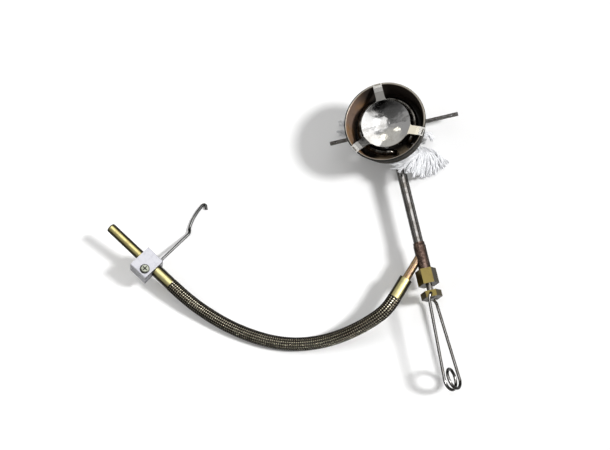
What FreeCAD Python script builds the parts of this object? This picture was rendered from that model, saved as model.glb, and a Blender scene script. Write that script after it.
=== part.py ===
import FreeCAD, Part
import math
import os
import Sketcher
from FreeCAD import Placement, Rotation, Vector

# Burner head of a small liquid-fuel camping stove, with its braided fuel hose.
# The origin lies on the ground under the burner's axis, +Z is up, and the neck runs along -Y.

# Driving sizes, in millimetres and degrees: name, value, meaning.
SIZES = (
    ("solder_gap", 0.03, "radial gap of a soldered or crimped joint"),
    ("thread_gap", 0.05, "radial gap drawn between two threads"),
    ("running_gap", 0.05, "radial gap of a piece that turns or slides"),
    ("seat_gap", 0.1, "gap between faces that close on each other"),
    ("neck_height", 16.8, "neck axis above the ground"),
    ("rod_height", 12.5, "support rod and feed pipe axis above the ground"),
    ("rim_top", 38.0, "top of the bell's rolled rim"),
    ("rim_radius", 25.35, "outside of the rolled rim"),
    ("rim_bead", 0.75, "radius of the rolled rim's bead"),
    ("bell_sheet", 0.6, "sheet of the bell"),
    ("bell_taper", 10.0, "lean of the bell's wall"),
    ("bell_corner", 3.2, "outer corner between floor and wall of the bell"),
    ("bell_floor", 22.1, "underside of the bell's floor"),
    ("air_hole_count", 8, "air holes in the bell's floor"),
    ("air_hole_radius", 1.6, "radius of an air hole"),
    ("air_ring_radius", 10.8, "circle on which the air holes lie"),
    ("plate_radius", 15.2, "radius of the spreader plate"),
    ("plate_sheet", 0.5, "sheet of the spreader plate"),
    ("plate_edge_top", 34.7, "top of the plate's edge"),
    ("plate_sag", 1.0, "dish of the plate"),
    ("tab_count", 3, "tabs of the plate"),
    ("tab_angle", 87.8, "direction of the first tab"),
    ("tab_width", 5.5, "width of a tab"),
    ("tab_fillet", 2.4, "root fillet of a tab"),
    ("tab_foot_start", 22.6, "radius at which a tab's flat foot begins"),
    ("tab_foot_margin", 0.05, "how far a tab stops inside the rim's outside"),
    ("notch_margin", 0.2, "side gap of a tab in its notch"),
    ("slot_length", 3.6, "length of the slot in a tab's foot"),
    ("slot_width", 0.75, "width of the slot in a tab's foot"),
    ("feed_angle", -54.0, "direction of the feed pipe under the bell"),
    ("feed_pipe_radius", 2.0, "outside of the feed pipe"),
    ("feed_pipe_bore", 1.2, "bore radius of the feed pipe"),
    ("feed_ring_radius", 17.0, "radius of the preheating ring"),
    ("feed_ring_height", 29.0, "axis height of the preheating ring"),
    ("feed_ring_steps", 11, "bends that make up the preheating ring"),
    ("feed_hole_margin", 0.3, "gap round the feed pipe in the bell's floor"),
    ("feed_socket_depth", 2.0, "depth of the feed pipe in the block"),
    ("block_radius", 8.0, "radius of the jet block"),
    ("block_base", 9.0, "underside of the block's wide part"),
    ("block_foot_radius", 4.0, "foot of the block, in the cup's collar"),
    ("stud_radius", 4.0, "threaded stud through the bell's floor"),
    ("stud_length", 4.2, "height of the stud over the block"),
    ("bell_nut_flats", 12.0, "across flats of the nut on the stud"),
    ("bell_nut_height", 2.8, "height of the nut on the stud"),
    ("jet_flats", 5.5, "across flats of the jet"),
    ("jet_head_height", 1.2, "height of the jet's hexagon"),
    ("jet_crown_height", 0.5, "height of the jet's crown"),
    ("jet_crown_radius", 1.5, "radius of the jet's crown"),
    ("jet_shank_radius", 1.9, "thread of the jet"),
    ("jet_shank_length", 3.0, "length of the jet's thread"),
    ("jet_orifice", 0.25, "radius of the jet's orifice"),
    ("gas_bore", 1.0, "bore radius from the needle seat to the jet"),
    ("needle_seat_radius", 0.6, "radius of the needle seat"),
    ("needle_seat", 2.6, "needle seat from the burner axis"),
    ("needle_chamber_radius", 1.6, "chamber round the needle's point"),
    ("vapour_bore_offset", 3.4, "vapour bore from the burner axis"),
    ("rod_radius", 1.25, "support rod"),
    ("rod_grip_radius", 1.6, "thicker middle of the support rod"),
    ("rod_grip_half", 8.5, "half the length of the thicker middle"),
    ("rod_left", 40.0, "support rod, left end from its middle"),
    ("rod_right", 42.3, "support rod, right end from its middle"),
    ("rod_offset", 3.6, "support rod behind the burner axis"),
    ("rod_turn", -3.5, "turn of the support rod in plan"),
    ("rod_hole_radius", 0.6, "cross hole near each end of the rod"),
    ("rod_hole_inset", 4.0, "cross hole from the rod's end"),
    ("cup_radius", 13.0, "priming cup"),
    ("cup_height", 7.0, "height of the priming cup"),
    ("cup_sheet", 0.8, "sheet of the priming cup"),
    ("cup_corner", 1.6, "outer corner of the priming cup"),
    ("cup_collar_height", 4.2, "top of the cup's collar round the block's foot"),
    ("wick_height", 7.6, "top of the cotton ring in the cup"),
    ("wick_clearance", 0.25, "gap round the cotton ring"),
    ("strand_radius", 1.3, "bundle of loose wick strands"),
    ("neck_radius", 3.0, "outside of the neck tube"),
    ("neck_bore", 2.0, "bore radius of the neck tube"),
    ("neck_start", 5.5, "start of the neck tube from the burner axis"),
    ("neck_length", 72.4, "length of the neck tube"),
    ("guide_start", 9.0, "start of the needle guide from the burner axis"),
    ("guide_length", 4.5, "length of the needle guide"),
    ("sleeve_lap", 4.0, "lap of the valve sleeve over the neck tube"),
    ("sleeve_mouth_radius", 3.5, "thin mouth of the valve sleeve"),
    ("sleeve_mouth_length", 1.0, "length of the sleeve's thin mouth"),
    ("sleeve_cone_length", 1.2, "length of the sleeve's cone"),
    ("sleeve_radius", 3.75, "outside of the valve sleeve"),
    ("sleeve_length", 23.7, "length of the valve sleeve"),
    ("sleeve_bore", 2.3, "bore radius of the valve sleeve"),
    ("sleeve_bore_length", 6.5, "length of the plain bore past the neck"),
    ("packing_chamber", 3.0, "radius of the packing chamber"),
    ("packing_chamber_depth", 3.5, "depth of the packing chamber"),
    ("packing_length", 2.5, "length of the packing ring"),
    ("washer_thickness", 0.8, "gland washer"),
    ("inlet_past_neck", 2.8, "inlet tube's axis past the neck tube's end"),
    ("inlet_angle", 45.0, "inlet tube against the neck"),
    ("inlet_radius", 2.5, "outside of the inlet tube"),
    ("inlet_bore", 1.6, "bore radius of the inlet tube"),
    ("inlet_length", 21.7, "inlet tube's end along its axis"),
    ("nut_lap", 6.2, "lap of the gland nut over the sleeve"),
    ("nut_cap", 3.2, "thickness of the gland nut's end"),
    ("nut_flats", 11.1, "across flats of gland nut and knob"),
    ("nut_turn", 11.4, "turn of the gland nut's flats"),
    ("spindle_past_neck", 4.1, "inner end of the spindle past the neck tube's end"),
    ("spindle_nose", 3.5, "length of the spindle's nose"),
    ("spindle_thread_radius", 2.45, "thread of the spindle"),
    ("spindle_thread_length", 6.0, "length of the spindle's thread"),
    ("spindle_radius", 1.95, "spindle"),
    ("spindle_socket_depth", 6.0, "depth of the needle socket in the spindle"),
    ("spigot_radius", 1.6, "spigot in the knob"),
    ("peen_height", 0.5, "peened end of the spindle over the knob"),
    ("peen_radius", 1.9, "radius of the peened end"),
    ("needle_radius", 1.2, "needle"),
    ("needle_point_radius", 0.45, "tip of the needle's point"),
    ("needle_point_length", 2.6, "length of the needle's point"),
    ("knob_gap", 4.6, "gap from the gland nut to the knob"),
    ("knob_length", 4.0, "length of the knob"),
    ("knob_turn", 8.0, "turn of the knob's flats and of the handle's axis"),
    ("handle_pin_depth", 2.95, "depth of each handle hole in the knob"),
    ("handle_wire_radius", 0.9, "wire of the handle"),
    ("handle_leg_offset", 7.6, "handle's leg from its hinge centre"),
    ("handle_leg_side", 1.9, "sideways step of each leg beside the knob"),
    ("handle_leg_start", 3.1, "start of the straight leg from the hinge"),
    ("handle_length", 52.2, "hinge to the centre of the handle's coil"),
    ("handle_coil_radius", 6.1, "centre line radius of the handle's coil"),
    ("handle_coil_lean", 25.6, "lean of the handle's coil from upright"),
    ("handle_coil_spread", 2.3, "half the width between the coil's ends"),
    ("handle_coil_turns", 1.5, "turns of the coil"),
    ("ferrule_radius", 4.1, "outside of the ferrules"),
    ("ferrule_tube_bore", 3.9, "length of a ferrule's bore over its tube"),
    ("burner_ferrule_start", 17.8, "burner ferrule's start along the inlet axis"),
    ("ferrule_length", 13.0, "length of a ferrule"),
    ("ferrule_step", 0.1, "shoulder between tube and liner inside a ferrule"),
    ("insert_radius", 1.45, "insert inside the hose liner"),
    ("insert_bore", 1.0, "bore radius of the insert"),
    ("insert_margin", 0.8, "insert stops this far inside the ferrule's mouth"),
    ("liner_radius", 2.8, "outside of the hose liner"),
    ("liner_bore", 1.5, "bore radius of the hose liner"),
    ("braid_radius", 4.15, "outside of the braid"),
    ("braid_bore", 2.95, "inside of the braid"),
    ("exit_run", 13.8, "straight start of the hose's route"),
    ("arrival_run", 12.5, "straight end of the hose's route"),
    ("clamp_x", -169.9, "clamp block's centre, along X"),
    ("clamp_y", -38.8, "clamp block's centre, along Y"),
    ("clamp_z", 17.7, "clamp block's centre above the ground"),
    ("clamp_heading", -56.8, "heading of the plug tube towards the hose"),
    ("clamp_dip", 12.7, "dip of the plug tube towards the hose"),
    ("clamp_roll", -18.2, "roll of the clamp block about the plug tube"),
    ("plug_radius", 3.175, "outside of the plug tube"),
    ("plug_seat_radius", 2.9, "plug tube turned down where the clamp block and ferrule seat"),
    ("plug_bore", 1.6, "bore radius of the plug tube"),
    ("plug_free_length", 28.0, "plug tube beyond the clamp block"),
    ("plug_nose", 1.2, "rounding of the plug tube's free end"),
    ("plug_ferrule_start", 6.9, "plug ferrule's start from the block's centre"),
    ("clamp_half_width", 6.0, "half the clamp block's width and height"),
    ("clamp_half_length", 6.5, "half the clamp block's length on the tube"),
    ("clamp_ear", 10.0, "clamp block's ear from the tube's axis"),
    ("clamp_slit", 1.0, "slit in the clamp block's ear"),
    ("clamp_corner", 0.4, "broken edges of the clamp block"),
    ("screw_offset", 5.9, "clamp screw from the tube's axis"),
    ("screw_station", 2.2, "clamp screw from the block's middle"),
    ("screw_radius", 1.5, "thread of the clamp screw"),
    ("screw_head_radius", 3.0, "head of the clamp screw"),
    ("screw_head_height", 1.7, "height of the screw's head"),
    ("screw_point", 0.4, "screw's end past the nut"),
    ("recess_length", 3.4, "span of the cross recess"),
    ("recess_width", 0.7, "width of the cross recess"),
    ("recess_depth", 0.9, "depth of the cross recess"),
    ("clamp_nut_flats", 5.5, "across flats of the nut under the block"),
    ("clamp_nut_height", 2.4, "height of the nut under the block"),
    ("catch_wire_radius", 0.9, "wire of the catch"),
    ("catch_drop", 4.7, "catch wire's bore below the tube's axis"),
    ("catch_station", 3.0, "catch wire's bore from the block's middle"),
    ("catch_depth", 9.0, "depth of the catch wire's bore"),
    ("catch_reach", 28.3, "straight of the catch wire past the block"),
    ("catch_groove_radius", 0.5, "catch wire in its retaining groove"),
    ("catch_groove_width", 1.4, "width of the retaining groove"),
    ("catch_groove_depth", 6.9, "middle of the groove inside the block"),
    ("catch_pin_radius", 0.5, "retaining pin"),
    ("catch_pin_length", 2.2, "length of the retaining pin"),
)

# Every drill and slit starts this far outside the metal.
OVERCUT = 1

# Free route of the hose between its two straight ends, on the ground in the middle.
HOSE_POINTS = (
    (-45.4, -118.5, 15.4),
    (-63.2, -119.4, 11.2),
    (-80.0, -113.8, 5.6),
    (-92.4, -110.3, 4.3),
    (-104.7, -106.1, 4.4),
    (-117.1, -99.4, 4.3),
    (-127.4, -91.1, 4.8),
    (-138.0, -82.6, 5.9),
)

# Hooked end of the catch wire, seen in plan. It lies on the ground.
CATCH_HOOK = (
    (-144.2, -17.9),
    (-141.1, -12.9),
    (-137.5, -9.0),
    (-132.1, -4.7),
    (-130.5, -5.3),
    (-130.6, -8.7),
)

# Loose bundles of the wick, from its knot beside the neck.
WICK_KNOT = (7.5, -19.0, 11.5)
WICK_STALK = ((3.4, -8.7, 7.0), (4.2, -13.0, 10.1), (6.0, -16.8, 10.9), WICK_KNOT)
WICK_STRANDS = (
    (WICK_KNOT, (12.2, -22.4, 10.4), (17.2, -24.8, 6.0), (22.4, -27.0, 2.2)),
    (WICK_KNOT, (11.3, -23.6, 8.6), (14.8, -27.0, 4.6), (17.2, -29.4, 2.4)),
    (WICK_KNOT, (9.0, -23.6, 8.6), (10.9, -27.0, 6.2), (12.4, -29.8, 3.8)),
    (WICK_KNOT, (7.8, -23.4, 10.3), (7.0, -27.0, 9.4), (7.2, -30.2, 7.9)),
    (WICK_KNOT, (7.6, -22.6, 17.0), (5.2, -25.6, 22.2), (0.0, -27.6, 21.9), (-3.4, -29.4, 20.9)),
    (WICK_KNOT, (7.2, -20.8, 17.6), (4.6, -22.9, 22.0), (-2.6, -22.9, 22.1), (-5.4, -20.6, 17.0),
     (-5.4, -18.6, 13.2)),
    (WICK_KNOT, (10.2, -21.3, 13.9), (14.4, -23.0, 13.0), (19.0, -24.6, 9.6)),
)
WICK_KNOT_SCALE = 1.8

doc = FreeCAD.newDocument("BurnerHead")
sheet = doc.addObject("Spreadsheet::Sheet", "Sizes")
for row, (alias, number, meaning) in enumerate(SIZES, 1):
    sheet.set("A%d" % row, meaning)
    sheet.set("B%d" % row, str(number))
    sheet.setAlias("B%d" % row, alias)
doc.recompute()


class Size:
    """A number of the sheet, or worked out from it, with its expression."""

    def __init__(self, number, text):
        self.number = number
        self.text = text

    def __add__(self, other):
        other = as_size(other)
        return Size(self.number + other.number, "(%s + %s)" % (self.text, other.text))

    def __sub__(self, other):
        other = as_size(other)
        return Size(self.number - other.number, "(%s - %s)" % (self.text, other.text))

    def __mul__(self, other):
        other = as_size(other)
        return Size(self.number * other.number, "(%s * %s)" % (self.text, other.text))

    def __truediv__(self, other):
        other = as_size(other)
        return Size(self.number / other.number, "(%s / %s)" % (self.text, other.text))

    def __neg__(self):
        return Size(-self.number, "(0 - %s)" % self.text)


class SheetSizes:
    """Gives each cell of the sheet by its alias, as in sizes.neck_radius."""

    def __getattr__(self, alias):
        return Size(float(sheet.get(alias)), "Sizes." + alias)


sizes = SheetSizes()


def as_size(value):
    return value if isinstance(value, Size) else Size(float(value), "(%r)" % float(value))


def sine(angle):
    return Size(math.sin(math.radians(angle.number)), "sin(%s * 1 deg)" % angle.text)


def cosine(angle):
    return Size(math.cos(math.radians(angle.number)), "cos(%s * 1 deg)" % angle.text)


def tangent(angle):
    return Size(math.tan(math.radians(angle.number)), "tan(%s * 1 deg)" % angle.text)


def root(value):
    return Size(math.sqrt(value.number), "sqrt(%s)" % value.text)


def bind(thing, path, value):
    """Ties one property to its expression; plain numbers need none."""
    if isinstance(value, Size):
        thing.setExpression(path, value.text)


def set_size(thing, name, value):
    setattr(thing, name, as_size(value).number)
    bind(thing, name, value)


def place(thing, x=0, y=0, z=0, rotation=None):
    """Puts an object at x, y, z and keeps each coordinate tied to the sheet."""
    spot = Vector(as_size(x).number, as_size(y).number, as_size(z).number)
    thing.Placement = Placement(spot, rotation or Rotation())
    bind(thing, "Placement.Base.x", x)
    bind(thing, "Placement.Base.y", y)
    bind(thing, "Placement.Base.z", z)
    return thing


# Neck frame: local Z runs outwards along the neck, local Y is up.
NECK_TURN = Rotation(Vector(1, 0, 0), 90)


def along_neck(thing, station=0):
    return place(thing, 0, -as_size(station), sizes.neck_height, NECK_TURN)


def clamp_turn():
    """Clamp frame: local Z towards the hose, X towards the catch, Y to the screw's head."""
    heading = math.radians(sizes.clamp_heading.number)
    dip = math.radians(sizes.clamp_dip.number)
    tube = Vector(math.cos(heading) * math.cos(dip), math.sin(heading) * math.cos(dip), -math.sin(dip))
    level = Vector(-math.sin(heading), math.cos(heading), 0)
    side = Rotation(tube, sizes.clamp_roll.number).multVec(level)
    return Rotation(side, tube.cross(side), tube, "ZXY")


def on_clamp(thing):
    return place(thing, sizes.clamp_x, sizes.clamp_y, sizes.clamp_z, clamp_turn())


def clamp_point(x, y, z):
    """A point of the clamp frame, in the part's own frame."""
    origin = Vector(sizes.clamp_x.number, sizes.clamp_y.number, sizes.clamp_z.number)
    local = Vector(as_size(x).number, as_size(y).number, as_size(z).number)
    return origin + clamp_turn().multVec(local)


def inlet_direction():
    angle = math.radians(sizes.inlet_angle.number)
    return Vector(-math.sin(angle), -math.cos(angle), 0)


def inlet_point(distance):
    """A point on the inlet's axis, at a distance from the neck's axis."""
    start = Vector(0, -inlet_station().number, sizes.neck_height.number)
    return start + inlet_direction() * as_size(distance).number


def along_inlet(thing, distance=0):
    distance = as_size(distance)
    x = -(sine(sizes.inlet_angle) * distance)
    y = -(inlet_station() + cosine(sizes.inlet_angle) * distance)
    return place(thing, x, y, sizes.neck_height, Rotation(Vector(0, 0, 1), inlet_direction()))


def add_body(label):
    return doc.addObject("PartDesign::Body", label)


def draw(body, plane, corners, lift=None):
    """A closed sketch. A corner is (u, v), or (u, v, radius, side) where an arc leads to the next
    corner and turns left for side 1 and right for side -1."""
    sketch = body.newObject("Sketcher::SketchObject", body.Label + "_sketch")
    origin_plane = [feature for feature in body.Origin.OriginFeatures if feature.Role == plane][0]
    sketch.AttachmentSupport = [(origin_plane, "")]
    sketch.MapMode = "FlatFace"
    if lift is not None:
        sketch.AttachmentOffset = Placement(Vector(0, 0, as_size(lift).number), Rotation())
        bind(sketch, "AttachmentOffset.Base.z", lift)
    count = len(corners)
    spots = [Vector(as_size(c[0]).number, as_size(c[1]).number, 0) for c in corners]
    starts = []
    for index, corner in enumerate(corners):
        here = spots[index]
        there = spots[(index + 1) % count]
        if len(corner) == 2:
            sketch.addGeometry(Part.LineSegment(here, there), False)
            starts.append(1)
            continue
        radius = as_size(corner[2]).number
        side = corner[3]
        chord = there - here
        left = Vector(-chord.y, chord.x, 0).normalize()
        height = math.sqrt(max(radius ** 2 - (chord.Length / 2) ** 2, 0))
        centre = (here + there) * 0.5 + left * (height * side)
        first, last = (here, there) if side == 1 else (there, here)
        angles = [math.atan2(spot.y - centre.y, spot.x - centre.x) for spot in (first, last)]
        circle = Part.Circle(centre, Vector(0, 0, 1), radius)
        sketch.addGeometry(Part.ArcOfCircle(circle, angles[0], angles[1]), False)
        starts.append(1 if side == 1 else 2)
    for index, corner in enumerate(corners):
        after = (index + 1) % count
        sketch.addConstraint(Sketcher.Constraint("Coincident", index, 3 - starts[index], after, starts[after]))
    for index, corner in enumerate(corners):
        for kind, value in (("DistanceX", corner[0]), ("DistanceY", corner[1])):
            value = as_size(value)
            constraint = Sketcher.Constraint(kind, -1, 1, index, starts[index], value.number)
            number = sketch.addConstraint(constraint)
            bind(sketch, "Constraints[%d]" % number, value)
        if len(corner) == 4:
            radius = as_size(corner[2])
            number = sketch.addConstraint(Sketcher.Constraint("Radius", index, radius.number))
            bind(sketch, "Constraints[%d]" % number, radius)
    return sketch


def turn(body, corners):
    """Adds the solid that the (radius, height) corners sweep round the body's Z axis."""
    sketch = draw(body, "XZ_Plane", corners)
    feature = body.newObject("PartDesign::Revolution", body.Label + "_turn")
    feature.Profile = (sketch, [""])
    feature.ReferenceAxis = (sketch, ["V_Axis"])
    feature.Angle = 360
    return body


def bore(body, corners):
    """Cuts the space that the (radius, height) corners sweep round the body's Z axis."""
    sketch = draw(body, "XZ_Plane", corners)
    feature = body.newObject("PartDesign::Groove", body.Label + "_bore")
    feature.Profile = (sketch, [""])
    feature.ReferenceAxis = (sketch, ["V_Axis"])
    feature.Angle = 360
    return body


def round_bore(body, radius, start, end):
    return bore(body, rectangle(0, radius, start, end))


def rectangle(u_low, u_high, v_low, v_high):
    return [(u_low, v_low), (u_high, v_low), (u_high, v_high), (u_low, v_high)]


def pad(body, plane, corners, length, lift=None, symmetric=False):
    sketch = draw(body, plane, corners, lift)
    feature = body.newObject("PartDesign::Pad", body.Label + "_pad")
    feature.Profile = (sketch, [""])
    set_size(feature, "Length", length)
    if symmetric:
        feature.SideType = "Symmetric"
    return body


def hexagon(body, across_flats, start, height, flat_angle=0):
    """Adds a hexagon bar along the body's Z axis, with one flat that faces flat_angle."""
    corner_radius = across_flats / 2 / cosine(as_size(30))
    corners = []
    for side in range(6):
        angle = as_size(flat_angle) + (30 + 60 * side)
        corners.append((corner_radius * cosine(angle), corner_radius * sine(angle)))
    return pad(body, "XY_Plane", corners, height, start)


def cylinder(label, radius, height):
    tool = doc.addObject("Part::Cylinder", label)
    set_size(tool, "Radius", radius)
    set_size(tool, "Height", height)
    return tool


def box(label, length, width, height):
    tool = doc.addObject("Part::Box", label)
    set_size(tool, "Length", length)
    set_size(tool, "Width", width)
    set_size(tool, "Height", height)
    return tool


def fuse(label, shapes):
    joined = doc.addObject("Part::MultiFuse", label)
    joined.Shapes = shapes
    return joined


def cut(label, base, tools):
    result = doc.addObject("Part::Cut", label)
    result.Base = base
    result.Tool = tools[0] if len(tools) == 1 else fuse(label + "_tools", tools)
    return result


def solid(label, shape):
    """Keeps a shape that is made directly, such as a bent tube."""
    feature = doc.addObject("Part::Feature", label)
    feature.Shape = shape
    return feature


nodes = []


def node(name, thing):
    """Names a finished piece."""
    thing.Label = name
    nodes.append(thing)
    return thing


def rounded_path(points):
    """Straight runs joined by tangent arcs, each as large as its two runs allow."""
    points = [Vector(point) for point in points]
    edges = []
    radii = []
    last = points[0]
    for before, corner, after in zip(points, points[1:], points[2:]):
        arriving = corner - before
        leaving = after - corner
        shorter = min(arriving.Length, leaving.Length)
        arriving.normalize()
        leaving.normalize()
        half_turn = arriving.getAngle(leaving) / 2
        setback = 0.45 * shorter
        radii.append(setback / math.tan(half_turn))
        entry = corner - arriving * setback
        leave = corner + leaving * setback
        inward = (leaving - arriving).normalize()
        sagitta = radii[-1] / math.cos(half_turn) - radii[-1]
        middle = corner + inward * sagitta
        edges.append(Part.LineSegment(last, entry).toShape())
        edges.append(Part.Arc(entry, middle, leave).toShape())
        last = leave
    edges.append(Part.LineSegment(last, points[-1]).toShape())
    return Part.Wire(edges), radii


def sweep(points, radius):
    """A round bar of the given radius along a rounded path."""
    path, radii = rounded_path(points)
    start = Vector(points[0])
    towards = Vector(points[1]) - start
    ring = Part.Wire([Part.Circle(start, towards, radius).toShape()])
    bar = path.makePipeShell([ring], True, False)
    return bar, path, radii


def report_sweep(label, bar, path, radii, radius):
    expected = math.pi * radius ** 2 * path.Length
    print("%s: length %.2f, radii %s, volume over section x length %.5f" % (
        label, path.Length, " ".join("%.1f" % r for r in radii), bar.Volume / expected))


def bell():
    """Pressed bell: floor on the block, leaning wall, rolled rim with three notches and tongues."""
    lean = sizes.bell_taper
    rim_centre = sizes.rim_radius - sizes.rim_bead
    rim_height = sizes.rim_top - sizes.rim_bead
    half_wall = sizes.bell_sheet / 2 / cosine(lean)
    hole = sizes.stud_radius + sizes.thread_gap
    base_corner = rim_centre + half_wall - (rim_height - sizes.bell_floor) * tangent(lean)
    inner_floor = sizes.bell_floor + sizes.bell_sheet
    inner_corner = rim_centre - half_wall - (rim_height - inner_floor) * tangent(lean)
    inner_radius = sizes.bell_corner - sizes.bell_sheet
    half_turn = tangent((as_size(90) - lean) / 2)
    outer_setback = sizes.bell_corner * half_turn
    inner_setback = inner_radius * half_turn
    shell = turn(add_body("bell_shell"), [
        (hole, sizes.bell_floor),
        (base_corner - outer_setback, sizes.bell_floor, sizes.bell_corner, 1),
        (base_corner + outer_setback * sine(lean), sizes.bell_floor + outer_setback * cosine(lean)),
        (rim_centre + half_wall, rim_height),
        (rim_centre - half_wall, rim_height),
        (inner_corner + inner_setback * sine(lean), inner_floor + inner_setback * cosine(lean),
         inner_radius, -1),
        (inner_corner - inner_setback, inner_floor),
        (hole, inner_floor),
    ])
    bead = doc.addObject("Part::Torus", "bell_bead")
    set_size(bead, "Radius1", rim_centre)
    set_size(bead, "Radius2", sizes.rim_bead)
    place(bead, 0, 0, rim_height)
    tools = []
    for index in range(int(sizes.air_hole_count.number)):
        angle = as_size(360) / sizes.air_hole_count * (index + 0.5)
        hole_tool = cylinder("air_hole", sizes.air_hole_radius, sizes.bell_sheet * 3)
        place(hole_tool, sizes.air_ring_radius * cosine(angle), sizes.air_ring_radius * sine(angle),
              sizes.bell_floor - sizes.bell_sheet)
        tools.append(hole_tool)
    for angle in (sizes.feed_angle, as_size(-90)):
        hole_tool = cylinder("feed_hole", sizes.feed_pipe_radius + sizes.feed_hole_margin,
                             sizes.bell_sheet * 3)
        place(hole_tool, sizes.feed_ring_radius * cosine(angle), sizes.feed_ring_radius * sine(angle),
              sizes.bell_floor - sizes.bell_sheet)
        tools.append(hole_tool)
    notch_depth = sizes.rim_bead * 4
    notch_width = sizes.tab_width + sizes.notch_margin * 2
    for angle in tab_angles():
        tools.append(tab_block("rim_notch", angle, rim_centre, notch_depth, notch_width,
                               notch_floor(), sizes.rim_bead * 3))
    pierced = cut("bell_pierced", fuse("bell_rimmed", [shell, bead]), tools)
    tongues = []
    for angle in tab_angles():
        tongue_width = sizes.slot_length - sizes.notch_margin
        tongue_base = notch_floor() - sizes.bell_sheet
        tongues.append(tab_block("tongue", angle, rim_centre, sizes.bell_sheet, tongue_width,
                                 tongue_base, sizes.rim_top - tongue_base))
    return node("burner_bell", fuse("bell_whole", [pierced] + tongues))


def tab_angles():
    """The tabs stand evenly round the plate."""
    step = as_size(360) / sizes.tab_count
    return [sizes.tab_angle + step * index for index in range(int(sizes.tab_count.number))]


def notch_floor():
    return sizes.rim_top - sizes.rim_bead - sizes.tab_foot_margin


def tab_block(label, angle, centre, depth, width, base, height):
    """A block on a tab's line: depth is radial, width is along the rim."""
    block = box(label, depth, width, height)
    near = centre - depth / 2
    x = near * cosine(angle) + width / 2 * sine(angle)
    y = near * sine(angle) - width / 2 * cosine(angle)
    return place(block, x, y, base, Rotation(Vector(0, 0, 1), angle.number))


def spreader_plate():
    """Dished disc with three tabs that climb to the rim."""
    edge_low = sizes.plate_edge_top - sizes.plate_sheet
    dish_radius = ((sizes.plate_radius * sizes.plate_radius + sizes.plate_sag * sizes.plate_sag)
                   / (sizes.plate_sag * 2))
    disc = turn(add_body("plate_disc"), [
        (0, edge_low - sizes.plate_sag, dish_radius, 1),
        (sizes.plate_radius, edge_low),
        (sizes.plate_radius, sizes.plate_edge_top, dish_radius, -1),
        (0, sizes.plate_edge_top - sizes.plate_sag),
    ])
    half_width = sizes.tab_width / 2
    fillet_side = half_width + sizes.tab_fillet
    fillet_reach = sizes.plate_radius + sizes.tab_fillet
    fillet_out = root(fillet_reach * fillet_reach - fillet_side * fillet_side)
    share = sizes.plate_radius / fillet_reach
    root_out = fillet_out * share
    root_side = fillet_side * share
    inner = sizes.plate_radius - sizes.tab_fillet
    foot_end = sizes.rim_radius - sizes.tab_foot_margin
    foot_low = notch_floor() + sizes.tab_foot_margin
    rim_centre = sizes.rim_radius - sizes.rim_bead
    edge_drop = sizes.plate_sag * 2 / sizes.plate_radius * (sizes.plate_radius - inner)
    pieces = [disc]
    slots = []
    for angle in tab_angles():
        turned = Rotation(Vector(0, 0, 1), angle.number)
        strip = pad(add_body("tab_strip"), "XZ_Plane", [
            (inner, edge_low - edge_drop),
            (sizes.plate_radius, edge_low),
            (sizes.tab_foot_start, foot_low),
            (foot_end, foot_low),
            (foot_end, foot_low + sizes.plate_sheet),
            (sizes.tab_foot_start, foot_low + sizes.plate_sheet),
            (sizes.plate_radius, sizes.plate_edge_top),
            (inner, sizes.plate_edge_top - edge_drop),
        ], fillet_side * 2, symmetric=True)
        place(strip, 0, 0, 0, turned)
        outline = pad(add_body("tab_outline"), "XY_Plane", [
            (inner, -root_side),
            (root_out, -root_side, sizes.tab_fillet, -1),
            (fillet_out, -half_width),
            (foot_end + OVERCUT, -half_width),
            (foot_end + OVERCUT, half_width),
            (fillet_out, half_width, sizes.tab_fillet, -1),
            (root_out, root_side),
            (inner, root_side),
        ], sizes.rim_top)
        place(outline, 0, 0, 0, turned)
        tab = doc.addObject("Part::Common", "tab")
        tab.Base = strip
        tab.Tool = outline
        pieces.append(tab)
        slots.append(tab_block("tab_slot", angle, rim_centre, sizes.slot_width, sizes.slot_length,
                               foot_low - sizes.plate_sheet, sizes.plate_sheet * 3))
    return node("spreader_plate", cut("plate_slotted", fuse("plate_joined", pieces), slots))


def feed_spot(radius, angle, height):
    turned = math.radians(angle)
    return Vector(radius * math.cos(turned), radius * math.sin(turned), height)


def generator_loop():
    """Feed pipe: out of the neck, up into the bell, once round, and down into the block."""
    ring = sizes.feed_ring_radius.number
    height = sizes.feed_ring_height.number
    low = sizes.rod_height.number
    steps = int(sizes.feed_ring_steps.number)
    start_angle = sizes.feed_angle.number
    step = (270 - start_angle) / steps
    block_end = sizes.block_radius - sizes.feed_socket_depth + sizes.seat_gap
    points = [feed_spot(block_end.number, start_angle, low), feed_spot(ring, start_angle, low)]
    points.append(feed_spot(ring, start_angle, height))
    for index in range(1, steps):
        points.append(feed_spot(ring / math.cos(math.radians(step / 2)), start_angle + step * index, height))
    points.append(feed_spot(ring, 270, height))
    points.append(feed_spot(ring, 270, sizes.neck_height.number + sizes.neck_bore.number / 2))
    pipe, path, radii = sweep(points, sizes.feed_pipe_radius.number)
    report_sweep("generator_loop", pipe, path, radii, sizes.feed_pipe_radius.number)
    hollow = sweep(points, sizes.feed_pipe_bore.number)[0]
    saddle = Part.makeCylinder((sizes.neck_radius + sizes.solder_gap).number, ring * 2,
                               Vector(0, 0, sizes.neck_height.number), Vector(0, -1, 0))
    return node("generator_loop", solid("generator_loop", pipe.cut(hollow).cut(saddle)))


def feed_direction():
    return Rotation(Vector(0, 0, 1), feed_spot(1, sizes.feed_angle.number, 0))


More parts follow.
